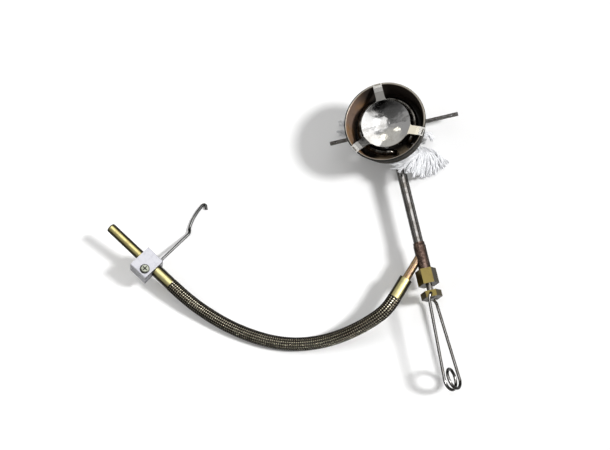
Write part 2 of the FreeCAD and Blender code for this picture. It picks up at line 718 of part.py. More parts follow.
def jet_block():
    """Brass block: foot in the cup, stud for the bell, and all the passages."""
    stud_top = sizes.bell_floor + sizes.stud_length
    blank = turn(add_body("block_blank"), [
        (0, sizes.cup_sheet),
        (sizes.block_foot_radius, sizes.cup_sheet),
        (sizes.block_foot_radius, sizes.block_base),
        (sizes.block_radius, sizes.block_base),
        (sizes.block_radius, sizes.bell_floor),
        (sizes.stud_radius, sizes.bell_floor),
        (sizes.stud_radius, stud_top),
        (0, stud_top),
    ])
    jet_thread = cylinder("jet_thread", sizes.jet_shank_radius + sizes.thread_gap,
                          sizes.jet_shank_length + OVERCUT)
    place(jet_thread, 0, 0, stud_top - sizes.jet_shank_length)
    gas_way = cylinder("gas_way", sizes.gas_bore, stud_top - sizes.neck_height)
    place(gas_way, 0, 0, sizes.neck_height)
    seat = along_neck(cylinder("needle_seat", sizes.needle_seat_radius, sizes.needle_seat + OVERCUT))
    chamber = cylinder("needle_chamber", sizes.needle_chamber_radius,
                       sizes.neck_start - sizes.needle_seat + OVERCUT)
    along_neck(chamber, sizes.needle_seat)
    socket = cylinder("neck_socket", sizes.neck_radius + sizes.solder_gap, sizes.block_radius)
    along_neck(socket, sizes.neck_start)
    cos_feed = cosine(sizes.feed_angle)
    sin_feed = sine(sizes.feed_angle)
    vapour = cylinder("vapour_bore", sizes.feed_pipe_bore, sizes.neck_height - sizes.rod_height)
    place(vapour, sizes.vapour_bore_offset * cos_feed, sizes.vapour_bore_offset * sin_feed, sizes.rod_height)
    feed_bore = cylinder("feed_bore", sizes.feed_pipe_bore, sizes.block_radius)
    place(feed_bore, sizes.vapour_bore_offset * cos_feed, sizes.vapour_bore_offset * sin_feed,
          sizes.rod_height, feed_direction())
    feed_socket = cylinder("feed_socket", sizes.feed_pipe_radius + sizes.solder_gap, sizes.block_radius)
    socket_start = sizes.block_radius - sizes.feed_socket_depth
    place(feed_socket, socket_start * cos_feed, socket_start * sin_feed, sizes.rod_height, feed_direction())
    rod_way = cylinder("rod_way", sizes.rod_grip_radius + sizes.solder_gap, sizes.block_radius * 4)
    reach = sizes.block_radius * 2
    x = -(reach * cosine(sizes.rod_turn))
    y = sizes.rod_offset - reach * sine(sizes.rod_turn)
    place(rod_way, x, y, sizes.rod_height, rod_direction())
    tools = [jet_thread, gas_way, seat, chamber, socket, vapour, feed_bore, feed_socket, rod_way]
    return node("jet_block", cut("block_drilled", blank, tools))


def jet():
    """Hexagon jet on the stud, with its orifice."""
    base = sizes.bell_floor + sizes.stud_length
    top = base + sizes.jet_head_height
    body = hexagon(add_body("jet"), sizes.jet_flats, base, sizes.jet_head_height)
    turn(body, [
        (0, base - sizes.jet_shank_length + sizes.seat_gap),
        (sizes.jet_shank_radius, base - sizes.jet_shank_length + sizes.seat_gap),
        (sizes.jet_shank_radius, top),
        (sizes.jet_crown_radius, top + sizes.jet_crown_height),
        (0, top + sizes.jet_crown_height),
    ])
    round_bore(body, sizes.gas_bore, base - sizes.jet_shank_length, top - sizes.jet_crown_height)
    round_bore(body, sizes.jet_orifice, base, top + sizes.jet_crown_height + OVERCUT)
    return node("jet", body)


def bell_nut():
    base = sizes.bell_floor + sizes.bell_sheet
    body = hexagon(add_body("bell_nut"), sizes.bell_nut_flats, base, sizes.bell_nut_height)
    round_bore(body, sizes.stud_radius + sizes.thread_gap, base - OVERCUT,
               base + sizes.bell_nut_height + OVERCUT)
    return node("bell_nut", body)


def rod_direction():
    """Turns local Z onto the support rod's line."""
    turned = math.radians(sizes.rod_turn.number)
    return Rotation(Vector(0, 0, 1), Vector(math.cos(turned), math.sin(turned), 0))


def support_rod():
    """Thin rod across the block, with a knurled middle and a cross hole at each end."""
    bar = turn(add_body("rod_bar"), [
        (0, -sizes.rod_left),
        (sizes.rod_radius, -sizes.rod_left),
        (sizes.rod_radius, -sizes.rod_grip_half),
        (sizes.rod_grip_radius, -sizes.rod_grip_half),
        (sizes.rod_grip_radius, sizes.rod_grip_half),
        (sizes.rod_radius, sizes.rod_grip_half),
        (sizes.rod_radius, sizes.rod_right),
        (0, sizes.rod_right),
    ])
    place(bar, 0, sizes.rod_offset, sizes.rod_height, rod_direction())
    tools = []
    for station in (sizes.rod_hole_inset - sizes.rod_left, sizes.rod_right - sizes.rod_hole_inset):
        hole = cylinder("rod_hole", sizes.rod_hole_radius, sizes.rod_radius * 4)
        x = station * cosine(sizes.rod_turn)
        y = sizes.rod_offset + station * sine(sizes.rod_turn)
        tools.append(place(hole, x, y, sizes.rod_height - sizes.rod_radius * 2))
    return node("support_rod", cut("rod_drilled", bar, tools))


def priming_cup():
    """Shallow cup with a collar that the block's foot is pressed into."""
    collar_bore = sizes.block_foot_radius + sizes.solder_gap
    collar = collar_bore + sizes.cup_sheet
    inner = sizes.cup_radius - sizes.cup_sheet
    inner_corner = sizes.cup_corner - sizes.cup_sheet
    body = turn(add_body("priming_cup"), [
        (0, 0),
        (sizes.cup_radius - sizes.cup_corner, 0, sizes.cup_corner, 1),
        (sizes.cup_radius, sizes.cup_corner),
        (sizes.cup_radius, sizes.cup_height),
        (inner, sizes.cup_height),
        (inner, sizes.cup_corner, inner_corner, -1),
        (inner - inner_corner, sizes.cup_sheet),
        (collar, sizes.cup_sheet),
        (collar, sizes.cup_collar_height),
        (collar_bore, sizes.cup_collar_height),
        (collar_bore, sizes.cup_sheet),
        (0, sizes.cup_sheet),
    ])
    return node("priming_cup", body)


def priming_wick():
    """Cotton ring in the cup, a stalk over the cup's edge and the frayed bundles beside the neck."""
    gap = sizes.wick_clearance.number
    inner = (sizes.block_foot_radius + sizes.solder_gap + sizes.cup_sheet).number + gap
    outer = (sizes.cup_radius - sizes.cup_corner).number
    low = sizes.cup_sheet.number + gap / 2
    high = sizes.wick_height.number
    ring = Part.makeCylinder(outer, high - low, Vector(0, 0, low))
    ring = ring.cut(Part.makeCylinder(inner, high, Vector(0, 0, 0)))
    radius = sizes.strand_radius.number
    whole = ring.fuse(sweep(WICK_STALK, radius)[0])
    whole = whole.fuse(Part.makeSphere(radius * WICK_KNOT_SCALE, Vector(WICK_KNOT)))
    for points in WICK_STRANDS:
        whole = whole.fuse(sweep(points, radius)[0])
    return node("priming_wick", solid("priming_wick", whole))


def neck_tube():
    """Tube from the block to the valve, with a port under the preheating loop."""
    tube = turn(add_body("neck_bar"), rectangle(
        sizes.neck_bore, sizes.neck_radius, sizes.neck_start, sizes.neck_start + sizes.neck_length))
    along_neck(tube)
    port = cylinder("neck_port", sizes.feed_pipe_bore, sizes.neck_radius * 2)
    place(port, 0, -sizes.feed_ring_radius, sizes.neck_height)
    return node("neck_tube", cut("neck_ported", tube, [port]))


def needle_guide():
    """Bush in the neck between the loop's port and the block."""
    body = turn(add_body("needle_guide"), rectangle(
        sizes.needle_radius + sizes.running_gap, sizes.neck_bore - sizes.solder_gap,
        sizes.guide_start, sizes.guide_start + sizes.guide_length))
    return node("needle_guide", along_neck(body))


def neck_end():
    return sizes.neck_start + sizes.neck_length


def inlet_station():
    return neck_end() + sizes.inlet_past_neck


def spindle_start():
    return neck_end() + sizes.spindle_past_neck


def sleeve_start():
    return neck_end() - sizes.sleeve_lap


def sleeve_end():
    return sleeve_start() + sizes.sleeve_length


def knob_start():
    return sleeve_end() + sizes.nut_cap + sizes.knob_gap


def valve_sleeve():
    """Stepped sleeve: laps the neck, takes the inlet and holds thread and packing."""
    start = sleeve_start()
    end = sleeve_end()
    cone_start = start + sizes.sleeve_mouth_length
    shoulder = neck_end() + sizes.seat_gap
    thread_start = shoulder + sizes.sleeve_bore_length
    chamber_start = end - sizes.packing_chamber_depth
    body = turn(add_body("sleeve_bar"), [
        (0, start),
        (sizes.sleeve_mouth_radius, start),
        (sizes.sleeve_mouth_radius, cone_start),
        (sizes.sleeve_radius, cone_start + sizes.sleeve_cone_length),
        (sizes.sleeve_radius, end),
        (0, end),
    ])
    round_bore(body, sizes.neck_radius + sizes.solder_gap, start - OVERCUT, shoulder)
    round_bore(body, sizes.sleeve_bore, start, thread_start)
    round_bore(body, sizes.spindle_thread_radius + sizes.thread_gap, thread_start, end)
    round_bore(body, sizes.packing_chamber, chamber_start, end + OVERCUT)
    along_neck(body)
    port = along_inlet(cylinder("inlet_port", sizes.inlet_radius + sizes.solder_gap, sizes.inlet_length))
    return node("valve_sleeve", cut("sleeve_ported", body, [port]))


def inlet_tube():
    """Tube that enters the sleeve at an angle; its end is fitted to the sleeve's bore."""
    tube = turn(add_body("inlet_bar"), rectangle(sizes.inlet_bore, sizes.inlet_radius, 0, sizes.inlet_length))
    along_inlet(tube)
    relief = cylinder("inlet_relief", sizes.spindle_thread_radius + sizes.thread_gap * 2,
                      sizes.sleeve_length * 2)
    along_neck(relief, sleeve_start())
    return node("inlet_tube", cut("inlet_fitted", tube, [relief]))


def packing_start():
    return sleeve_end() - sizes.washer_thickness - sizes.packing_length


def packing_ring():
    body = turn(add_body("packing_ring"), rectangle(
        sizes.spindle_radius + sizes.running_gap, sizes.packing_chamber - sizes.thread_gap,
        packing_start(), packing_start() + sizes.packing_length))
    return node("packing_ring", along_neck(body))


def gland_washer():
    body = turn(add_body("gland_washer"), rectangle(
        sizes.spindle_radius + sizes.running_gap, sizes.packing_chamber - sizes.thread_gap,
        sleeve_end() - sizes.washer_thickness, sleeve_end()))
    return node("gland_washer", along_neck(body))


def gland_nut():
    """Hexagon nut that closes the packing chamber."""
    start = sleeve_end() - sizes.nut_lap
    length = sizes.nut_lap + sizes.nut_cap
    body = hexagon(add_body("gland_nut"), sizes.nut_flats, start, length, as_size(90) - sizes.nut_turn)
    round_bore(body, sizes.sleeve_radius + sizes.thread_gap, start - OVERCUT, sleeve_end())
    round_bore(body, sizes.spindle_radius + sizes.running_gap, start, start + length + OVERCUT)
    return node("gland_nut", along_neck(body))


def needle():
    """Long needle; its point closes the seat in the block, its tail sits in the spindle."""
    tip = sizes.needle_seat + sizes.running_gap
    tail = spindle_start() + sizes.spindle_socket_depth - sizes.seat_gap
    body = turn(add_body("needle"), [
        (0, tip),
        (sizes.needle_point_radius, tip),
        (sizes.needle_radius, tip + sizes.needle_point_length),
        (sizes.needle_radius, tail),
        (0, tail),
    ])
    return node("needle", along_neck(body))


def spindle():
    """Threaded spindle with a socket for the needle and a spigot peened over the knob."""
    start = spindle_start()
    thread_start = start + sizes.spindle_nose
    thread_end = thread_start + sizes.spindle_thread_length
    knob_end = knob_start() + sizes.knob_length
    body = turn(add_body("spindle"), [
        (0, start),
        (sizes.spindle_radius, start),
        (sizes.spindle_radius, thread_start),
        (sizes.spindle_thread_radius, thread_start),
        (sizes.spindle_thread_radius, thread_end),
        (sizes.spindle_radius, thread_end),
        (sizes.spindle_radius, knob_start()),
        (sizes.spigot_radius, knob_start()),
        (sizes.spigot_radius, knob_end),
        (sizes.peen_radius, knob_end),
        (sizes.spigot_radius, knob_end + sizes.peen_height),
        (0, knob_end + sizes.peen_height),
    ])
    round_bore(body, sizes.needle_radius + sizes.running_gap, start - OVERCUT,
               start + sizes.spindle_socket_depth)
    return node("spindle", along_neck(body))


def handle_axis():
    """Turns local Z onto the handle's hinge axis."""
    return Rotation(Vector(0, 1, 0), sizes.knob_turn.number)


def handle_station():
    return knob_start() + sizes.knob_length / 2


def valve_knob():
    """Hexagon block on the spindle with two holes for the handle's ends."""
    start = knob_start()
    body = hexagon(add_body("knob_bar"), sizes.nut_flats, start, sizes.knob_length,
                   as_size(90) - sizes.knob_turn)
    round_bore(body, sizes.spigot_radius + sizes.solder_gap, start - OVERCUT,
               start + sizes.knob_length + OVERCUT)
    along_neck(body)
    tools = []
    for side in (1, -1):
        hole = cylinder("handle_hole", sizes.handle_wire_radius + sizes.running_gap, sizes.nut_flats)
        inner = sizes.nut_flats / 2 - sizes.handle_pin_depth
        away = Rotation(Vector(0, 0, 1), handle_axis().multVec(Vector(0, 0, side)))
        x = inner * sine(sizes.knob_turn) * side
        z = sizes.neck_height + inner * cosine(sizes.knob_turn) * side
        tools.append(place(hole, x, -handle_station(), z, away))
    return node("valve_knob", cut("knob_drilled", body, tools))


def handle_points():
    """The handle's centre line: pin, leg, coil, leg, pin, about the hinge centre."""
    inner = (sizes.nut_flats / 2 - sizes.handle_pin_depth + sizes.seat_gap * 2).number
    offset = sizes.handle_leg_offset.number
    lean = math.radians(sizes.handle_coil_lean.number)
    up = Vector(-math.sin(lean), 0, math.cos(lean))
    across = Vector(math.cos(lean), 0, math.sin(lean))
    centre = Vector(0, -sizes.handle_length.number, 0)
    spread = sizes.handle_coil_spread.number
    turned = 360 * sizes.handle_coil_turns.number
    step = 45.0
    reach = sizes.handle_coil_radius.number / math.cos(math.radians(step / 2))
    side = sizes.handle_leg_side.number
    start = -sizes.handle_leg_start.number
    points = [Vector(0, 0, inner), Vector(0, 0, offset), Vector(-side, start, offset)]
    for index in range(int(turned / step)):
        angle = step * (index + 0.5)
        around = up * math.cos(math.radians(angle)) - Vector(0, 1, 0) * math.sin(math.radians(angle))
        sideways = spread * (2 * angle / turned - 1)
        points.append(centre + around * reach + across * sideways)
    points += [Vector(side, start, -offset), Vector(0, 0, -offset), Vector(0, 0, -inner)]
    return points


def least_gap(path, radius, apart):
    """Least distance between stretches of one wire that lie at least apart along it."""
    count = 400
    spots = path.discretize(Number=count)
    step = path.Length / (count - 1)
    skip = int(apart / step)
    least = min((spots[i] - spots[j]).Length for i in range(count) for j in range(i + skip, count))
    return least - radius * 2


def handle_wire():
    """Wire handle that folds about the knob."""
    radius = sizes.handle_wire_radius.number
    bar, path, radii = sweep(handle_points(), radius)
    report_sweep("handle_wire", bar, path, radii, radius)
    print("handle coil gap %.2f" % least_gap(path, radius, sizes.handle_coil_radius.number * 4))
    feature = solid("handle_wire", bar)
    place(feature, 0, -handle_station(), sizes.neck_height, handle_axis())
    return node("handle_wire", feature)


def ferrule_shoulder():
    return sizes.ferrule_tube_bore + sizes.ferrule_step


def ferrule(name, tube_radius):
    """Brass ferrule: bored for its tube at one end and for the hose at the other."""
    body = turn(add_body(name), rectangle(0, sizes.ferrule_radius, 0, sizes.ferrule_length))
    round_bore(body, tube_radius + sizes.solder_gap, -OVERCUT, ferrule_shoulder())
    round_bore(body, sizes.liner_radius + sizes.thread_gap, ferrule_shoulder() - sizes.ferrule_step,
               sizes.ferrule_length + OVERCUT)
    return node(name, body)


def insert(name):
    """Thin insert that keeps the liner open under the crimp."""
    body = turn(add_body(name), rectangle(
        sizes.insert_bore, sizes.insert_radius, ferrule_shoulder() + sizes.seat_gap,
        sizes.ferrule_length - sizes.insert_margin))
    return node(name, body)


def hose_route():
    """Corner points of the hose, from the burner ferrule's face to the plug ferrule's face."""
    start_distance = sizes.burner_ferrule_start + sizes.ferrule_length
    start = inlet_point(start_distance)
    end_station = sizes.plug_ferrule_start + sizes.ferrule_length
    end = clamp_point(0, 0, end_station)
    before_end = clamp_point(0, 0, end_station + sizes.arrival_run)
    middle = [Vector(point) for point in HOSE_POINTS]
    return [start, inlet_point(start_distance + sizes.exit_run)] + middle + [before_end, end]


def hose_liner():
    """Inner tube of the hose; its ends run into both ferrules."""
    route = hose_route()
    inside = (sizes.ferrule_length - ferrule_shoulder() - sizes.seat_gap * 2).number
    radius = sizes.liner_radius.number
    solids = []
    for size in (radius, sizes.liner_bore.number):
        bar = sweep(route, size)[0]
        for end, inner in ((route[0], route[1]), (route[-1], route[-2])):
            outward = (end - inner).normalize()
            bar = bar.fuse(Part.makeCylinder(size, inside, end, outward))
        solids.append(bar.removeSplitter())
    return node("hose_liner", solid("hose_liner", solids[0].cut(solids[1])))


def hose_braid():
    """Braided jacket between the two ferrules."""
    route = hose_route()
    outer, path, radii = sweep(route, sizes.braid_radius.number)
    report_sweep("hose_braid", outer, path, radii, sizes.braid_radius.number)
    inner = sweep(route, sizes.braid_bore.number)[0]
    return node("hose_braid", solid("hose_braid", outer.cut(inner)))


def plug_end():
    """Free end of the plug tube, in the clamp frame."""
    return -(sizes.clamp_half_length + sizes.plug_free_length)


def plug_tube():
    """Tube with a rounded nose that enters the pump, and a shoulder that the clamp block meets."""
    start = plug_end()
    body = turn(add_body("plug_tube"), [
        (sizes.plug_bore, start),
        (sizes.plug_radius - sizes.plug_nose, start, sizes.plug_nose, 1),
        (sizes.plug_radius, start + sizes.plug_nose),
        (sizes.plug_radius, -sizes.clamp_half_length),
        (sizes.plug_seat_radius, -sizes.clamp_half_length),
        (sizes.plug_seat_radius, sizes.plug_ferrule_start + sizes.ferrule_tube_bore),
        (sizes.plug_bore, sizes.plug_ferrule_start + sizes.ferrule_tube_bore),
    ])
    return node("plug_tube", on_clamp(body))


def clamp_cylinder(label, radius, height, x, y, z, direction):
    """A drill in the clamp frame, from a point along a direction."""
    tool = cylinder(label, radius, height)
    turned = clamp_turn().multiply(Rotation(Vector(0, 0, 1), direction))
    tool.Placement = Placement(clamp_point(x, y, z), turned)
    return tool


def clamp_block():
    """Split block on the plug tube, drilled for the screw, the catch wire and its pin."""
    half = sizes.clamp_half_width
    length = sizes.clamp_half_length
    edge = sizes.clamp_corner
    body = pad(add_body("clamp_bar"), "XY_Plane", [
        (-sizes.clamp_ear, -half + edge),
        (-sizes.clamp_ear + edge, -half),
        (half - edge, -half),
        (half, -half + edge),
        (half, half - edge),
        (half - edge, half),
        (-sizes.clamp_ear + edge, half),
        (-sizes.clamp_ear, half - edge),
    ], length * 2, symmetric=True)
    round_bore(body, sizes.plug_seat_radius + sizes.solder_gap, -length - OVERCUT, length + OVERCUT)
    on_clamp(body)
    slit = box("clamp_slit", sizes.clamp_ear + OVERCUT, sizes.clamp_slit, length * 4)
    corner = clamp_point(-sizes.clamp_ear - OVERCUT, -sizes.clamp_slit / 2, -length * 2)
    slit.Placement = Placement(corner, clamp_turn())
    screw_way = clamp_cylinder("screw_way", sizes.screw_radius + sizes.seat_gap, half * 4,
                               -sizes.screw_offset, -half * 2, sizes.screw_station, Vector(0, 1, 0))
    catch_way = clamp_cylinder("catch_way", sizes.catch_wire_radius + sizes.running_gap,
                               sizes.catch_depth + OVERCUT, half - sizes.catch_depth,
                               -sizes.catch_drop, sizes.catch_station, Vector(1, 0, 0))
    pin_way = clamp_cylinder("pin_way", sizes.catch_pin_radius + sizes.solder_gap,
                             sizes.catch_pin_length + OVERCUT, half - sizes.catch_groove_depth,
                             -half - OVERCUT, catch_pin_station(), Vector(0, 1, 0))
    return node("clamp_block", cut("clamp_drilled", body, [slit, screw_way, catch_way, pin_way]))


def catch_pin_station():
    """The pin passes the wire's groove on the side away from the hose."""
    return sizes.catch_station - sizes.catch_groove_radius - sizes.catch_pin_radius - sizes.seat_gap


def clamp_screw():
    """Pan head screw with a cross recess."""
    half = sizes.clamp_half_width
    end = -half - sizes.clamp_nut_height - sizes.screw_point
    top = half + sizes.screw_head_height
    body = turn(add_body("screw_bar"), [
        (0, end),
        (sizes.screw_radius, end),
        (sizes.screw_radius, half),
        (sizes.screw_head_radius, half),
        (sizes.screw_head_radius, top - sizes.screw_head_height / 2),
        (sizes.screw_head_radius - sizes.screw_head_height / 2, top),
        (0, top),
    ])
    upright = clamp_turn().multiply(Rotation(Vector(0, 0, 1), Vector(0, 1, 0)))
    body.Placement = Placement(clamp_point(-sizes.screw_offset, 0, sizes.screw_station), upright)
    tools = []
    for width, length in ((sizes.recess_width, sizes.recess_length), (sizes.recess_length, sizes.recess_width)):
        slot = box("recess", width, sizes.recess_depth + OVERCUT, length)
        corner = clamp_point(-sizes.screw_offset - width / 2, top - sizes.recess_depth,
                             sizes.screw_station - length / 2)
        slot.Placement = Placement(corner, clamp_turn())
        tools.append(slot)
    return node("clamp_screw", cut("screw_recessed", body, tools))


def clamp_nut():
    half = sizes.clamp_half_width
    body = hexagon(add_body("clamp_nut"), sizes.clamp_nut_flats, 0, sizes.clamp_nut_height)
    round_bore(body, sizes.screw_radius + sizes.thread_gap, -OVERCUT, sizes.clamp_nut_height + OVERCUT)
    upright = clamp_turn().multiply(Rotation(Vector(0, 0, 1), Vector(0, -1, 0)))
    body.Placement = Placement(clamp_point(-sizes.screw_offset, -half, sizes.screw_station), upright)
    return node("clamp_nut", body)


def catch_wire():
    """Spring wire catch: turns in its bore, runs out straight and ends in a hook on the ground."""
    radius = sizes.catch_wire_radius.number
    half = sizes.clamp_half_width
    start = clamp_point(half - sizes.catch_depth + sizes.seat_gap * 2, -sizes.catch_drop, sizes.catch_station)
    knee = clamp_point(half + sizes.catch_reach, -sizes.catch_drop, sizes.catch_station)
    lying = radius + sizes.seat_gap.number
    points = [start, knee] + [Vector(x, y, lying) for x, y in CATCH_HOOK]
    bar, path, radii = sweep(points, radius)
    report_sweep("catch_wire", bar, path, radii, radius)
    groove_width = sizes.catch_groove_width.number
    groove_start = clamp_point(half - sizes.catch_groove_depth - groove_width / 2,
                               -sizes.catch_drop, sizes.catch_station)
    direction = clamp_turn().multVec(Vector(1, 0, 0))
    groove = Part.makeCylinder(radius * 2, groove_width, groove_start, direction)
    core = Part.makeCylinder(sizes.catch_groove_radius.number, groove_width, groove_start, direction)
    return node("catch_wire", solid("catch_wire", bar.cut(groove.cut(core))))


def catch_pin():
    half = sizes.clamp_half_width
    body = turn(add_body("catch_pin"), rectangle(0, sizes.catch_pin_radius, 0, sizes.catch_pin_length))
    upright = clamp_turn().multiply(Rotation(Vector(0, 0, 1), Vector(0, 1, 0)))
    seat = clamp_point(half - sizes.catch_groove_depth, -half, catch_pin_station())
    body.Placement = Placement(seat, upright)
    return node("catch_pin", body)


def hose_ends():
    """Ferrules and inserts at both ends of the hose."""
    along_inlet(ferrule("burner_ferrule", sizes.inlet_radius), sizes.burner_ferrule_start)
    along_inlet(insert("burner_insert"), sizes.burner_ferrule_start)
    for piece in (ferrule("plug_ferrule", sizes.plug_seat_radius), insert("plug_insert")):
        piece.Placement = Placement(clamp_point(0, 0, sizes.plug_ferrule_start), clamp_turn())


bell()
spreader_plate()
generator_loop()
jet_block()
jet()
bell_nut()
support_rod()
priming_cup()
priming_wick()
neck_tube()
needle_guide()
valve_sleeve()
inlet_tube()
packing_ring()
gland_washer()
gland_nut()
needle()
spindle()
valve_knob()
handle_wire()
hose_ends()
hose_liner()
hose_braid()
plug_tube()
clamp_block()
clamp_screw()
clamp_nut()
catch_wire()
catch_pin()

doc.recompute()

for thing in doc.Objects:
    if "Invalid" in thing.State or "Error" in thing.State:
        raise RuntimeError("%s did not build" % thing.Label)

os.makedirs("parts", exist_ok=True)
for thing in nodes:
    shape = thing.Shape
    if shape.isNull() or not shape.isValid() or not shape.Solids:
        raise RuntimeError("%s has no valid solid" % thing.Label)
for thing in nodes:
    thing.Shape.exportStep("parts/%s.step" % thing.Label)
    print("%-16s solids %d volume %9.2f" % (thing.Label, len(thing.Shape.Solids), thing.Shape.Volume))
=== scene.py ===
# %% [markdown]
# A small stove burner that draws its fuel through a braided hose lies on a white table. The metal
# parts come as a fixed frame: one mesh for each part, in metres, at its place. This lesson gives
# every part the finish that it has on the bench, and then makes what a plain solid can't show, the
# weave of the hose and the cotton of the wick. The frame is loaded first and is never moved.

import math

import bpy
from mathutils import Matrix, Vector


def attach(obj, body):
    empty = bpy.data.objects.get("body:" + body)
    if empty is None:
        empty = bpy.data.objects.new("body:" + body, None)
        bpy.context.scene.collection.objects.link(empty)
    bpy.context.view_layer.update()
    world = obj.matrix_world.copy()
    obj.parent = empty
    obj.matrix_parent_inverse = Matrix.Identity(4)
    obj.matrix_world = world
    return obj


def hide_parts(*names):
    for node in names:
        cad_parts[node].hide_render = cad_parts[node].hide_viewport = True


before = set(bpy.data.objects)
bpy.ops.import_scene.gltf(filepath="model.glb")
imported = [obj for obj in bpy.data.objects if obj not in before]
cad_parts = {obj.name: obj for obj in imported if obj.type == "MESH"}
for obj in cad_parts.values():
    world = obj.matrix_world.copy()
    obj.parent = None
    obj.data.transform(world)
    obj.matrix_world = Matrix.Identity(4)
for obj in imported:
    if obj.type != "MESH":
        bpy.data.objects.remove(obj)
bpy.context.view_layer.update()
MM = 0.001
print("parts in the frame:", len(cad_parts))

# %% [markdown]
# The camera looks down from nearly overhead, as when someone stands at a table with the burner on
# it. The place and the two directions were fitted to the round rim of the bell, the plate and the
# straight rod. The lens is long, so the view is almost flat.

# %% Camera
IMAGE_WIDTH = 610
FOCAL_PIXELS = 1500
CAMERA_PLACE = Vector((108.1, -334.9, 882.7)) * MM
CAMERA_RIGHT = Vector((0.94414, -0.20393, -0.25885))
CAMERA_UP = Vector((0.27111, 0.92722, 0.25838))


def placed(name, data):
    """A new object in the scene, with the data given."""
    thing = bpy.data.objects.new(name, data)
    bpy.context.scene.collection.objects.link(thing)
    return thing


camera_data = bpy.data.cameras.new("table_camera")
camera_data.sensor_width = 36.0
camera_data.lens = camera_data.sensor_width * FOCAL_PIXELS / IMAGE_WIDTH
camera_data.clip_start = 0.01
camera_data.clip_end = 50.0
camera = placed("table_camera", camera_data)
turn = Matrix((CAMERA_RIGHT, CAMERA_UP, CAMERA_RIGHT.cross(CAMERA_UP))).transposed()
camera.matrix_world = Matrix.Translation(CAMERA_PLACE) @ turn.to_4x4()
bpy.context.scene.camera = camera
print("lens %.1f mm" % camera_data.lens)

# %% [markdown]
# Node trees are built in code, so a few small helpers come first. One makes a tree with named
# inputs and outputs, one adds a node with its settings, and one either links a socket or sets its
# plain value. The others name what the trees do again and again, such as a sum or a ramp. With
# them a tree reads almost like a list of what it does.

# %% Helpers for node trees
TURN = 2 * math.pi


def new_tree(name, kind, inputs, outputs):
    """A node tree with named sockets, and its two end nodes."""
    tree = bpy.data.node_groups.new(name, kind)
    for title, socket_type, value in inputs:
        socket = tree.interface.new_socket(title, in_out="INPUT", socket_type=socket_type)
        if value is not None:
            socket.default_value = value
    for title, socket_type in outputs:
        tree.interface.new_socket(title, in_out="OUTPUT", socket_type=socket_type)
    return tree, tree.nodes.new("NodeGroupInput"), tree.nodes.new("NodeGroupOutput")


def add(tree, kind, inputs=(), **settings):
    """A node with its settings, and its inputs by number or name."""
    node = tree.nodes.new(kind)
    for name, value in settings.items():
        setattr(node, name, value)
    for key, value in dict(inputs).items():
        feed(tree, node.inputs[key], value)
    return node


def feed(tree, socket, value):
    """Link a socket to another, or set its plain value."""
    if isinstance(value, bpy.types.NodeSocket):
        tree.links.new(value, socket)
    else:
        socket.default_value = value


def socket_title(key):
    """The name of a socket from the keyword that stands for it."""
    return key.replace("_", " ").title()


def add_group(tree, kind, group, **values):
    """A node that holds a group, and its inputs by keyword."""
    return add(tree, kind, {socket_title(key): value for key, value in values.items()}, node_tree=group)


def sums(tree, operation, *values):
    """The result of one Math node."""
    return add(tree, "ShaderNodeMath", dict(enumerate(values)), operation=operation).outputs[0]


def vectors(tree, operation, *values, scale=None):
    """The result of one Vector Math node."""
    node = add(tree, "ShaderNodeVectorMath", dict(enumerate(values)), operation=operation)
    if scale is not None:
        feed(tree, node.inputs["Scale"], scale)
    return node.outputs["Value" if operation in ("DOT_PRODUCT", "LENGTH") else "Vector"]


def raised(tree, value, mask, amount):
    """The value, and the whole amount more where the mask is full."""
    return sums(tree, "ADD", value, sums(tree, "MULTIPLY", mask, amount))


def opposite(tree, mask):
    """Full where the mask is empty."""
    return sums(tree, "SUBTRACT", 1.0, mask)


def ramp(tree, value, start, full, first=0.0, last=1.0, smooth=False):
    """Goes from the first number to the last while the value goes from start to full."""
    return add(tree, "ShaderNodeMapRange", {
        "Value": value, "From Min": start, "From Max": full, "To Min": first, "To Max": last},
        interpolation_type="SMOOTHSTEP" if smooth else "LINEAR").outputs[0]


# %% [markdown]
# The hose is one smooth curve. It leaves the brass ferrule below the valve, drops to the table,
# lies along it and climbs to the plug at the clamp. The photograph shows it from end to end, so
# its length is the length seen. A NURBS curve of order three runs near its control points with no
# kinks, which is how a stiff hose bends.

# %% Route of the hose
HOSE_ROUTE = (
    (-21.78, -102.48, 16.8),
    (-27.6, -108.3, 16.7),
    (-38.2, -112.0, 14.6),
    (-49.0, -114.0, 11.6),
    (-61.6, -114.8, 7.6),
    (-75.0, -114.4, 4.9),
    (-89.0, -112.0, 4.3),
    (-102.5, -107.2, 4.3),
    (-116.0, -99.6, 4.3),
    (-129.6, -89.6, 4.7),
    (-142.0, -77.8, 6.6),
    (-152.6, -65.24, 10.57),
    (-159.27, -55.04, 13.32),
)


def smooth_curve(name, routes, steps=12):
    """A curve object with one NURBS spline for each list of points, given in millimetres."""
    data = bpy.data.curves.new(name, "CURVE")
    data.dimensions = "3D"
    for route in routes:
        spline = data.splines.new("NURBS")
        spline.points.add(len(route) - 1)
        for point, place in zip(spline.points, route):
            point.co = (*(Vector(place) * MM), 1)
        spline.order_u = 3
        spline.use_endpoint_u = True
        spline.resolution_u = steps
    return placed(name, data)


def evaluated_mesh(thing):
    """A plain mesh of what the object shows, modifiers included."""
    thing_now = thing.evaluated_get(bpy.context.evaluated_depsgraph_get())
    return bpy.data.meshes.new_from_object(thing_now)


hose_curve = smooth_curve("hose_route", [HOSE_ROUTE], steps=48)
hose_line = evaluated_mesh(hose_curve)
bpy.data.objects.remove(hose_curve)

# %% [markdown]
# Braid, rope and yarn are all the same thing: strands that wind round a middle line. One Geometry
# Nodes group makes them all. It copies a curve, turns each copy to its own place round the line
# and winds it with a pitch. A negative pitch winds the other way. The rise lifts and lowers the
# strand as it goes, which is what passing over and under its neighbours needs. The lifting wave
# is drawn too high and cut flat, because a strand stays level while it lies on its neighbour.

# %% Strands that wind round a line
WAVE_BEFORE_CUT = 1.6


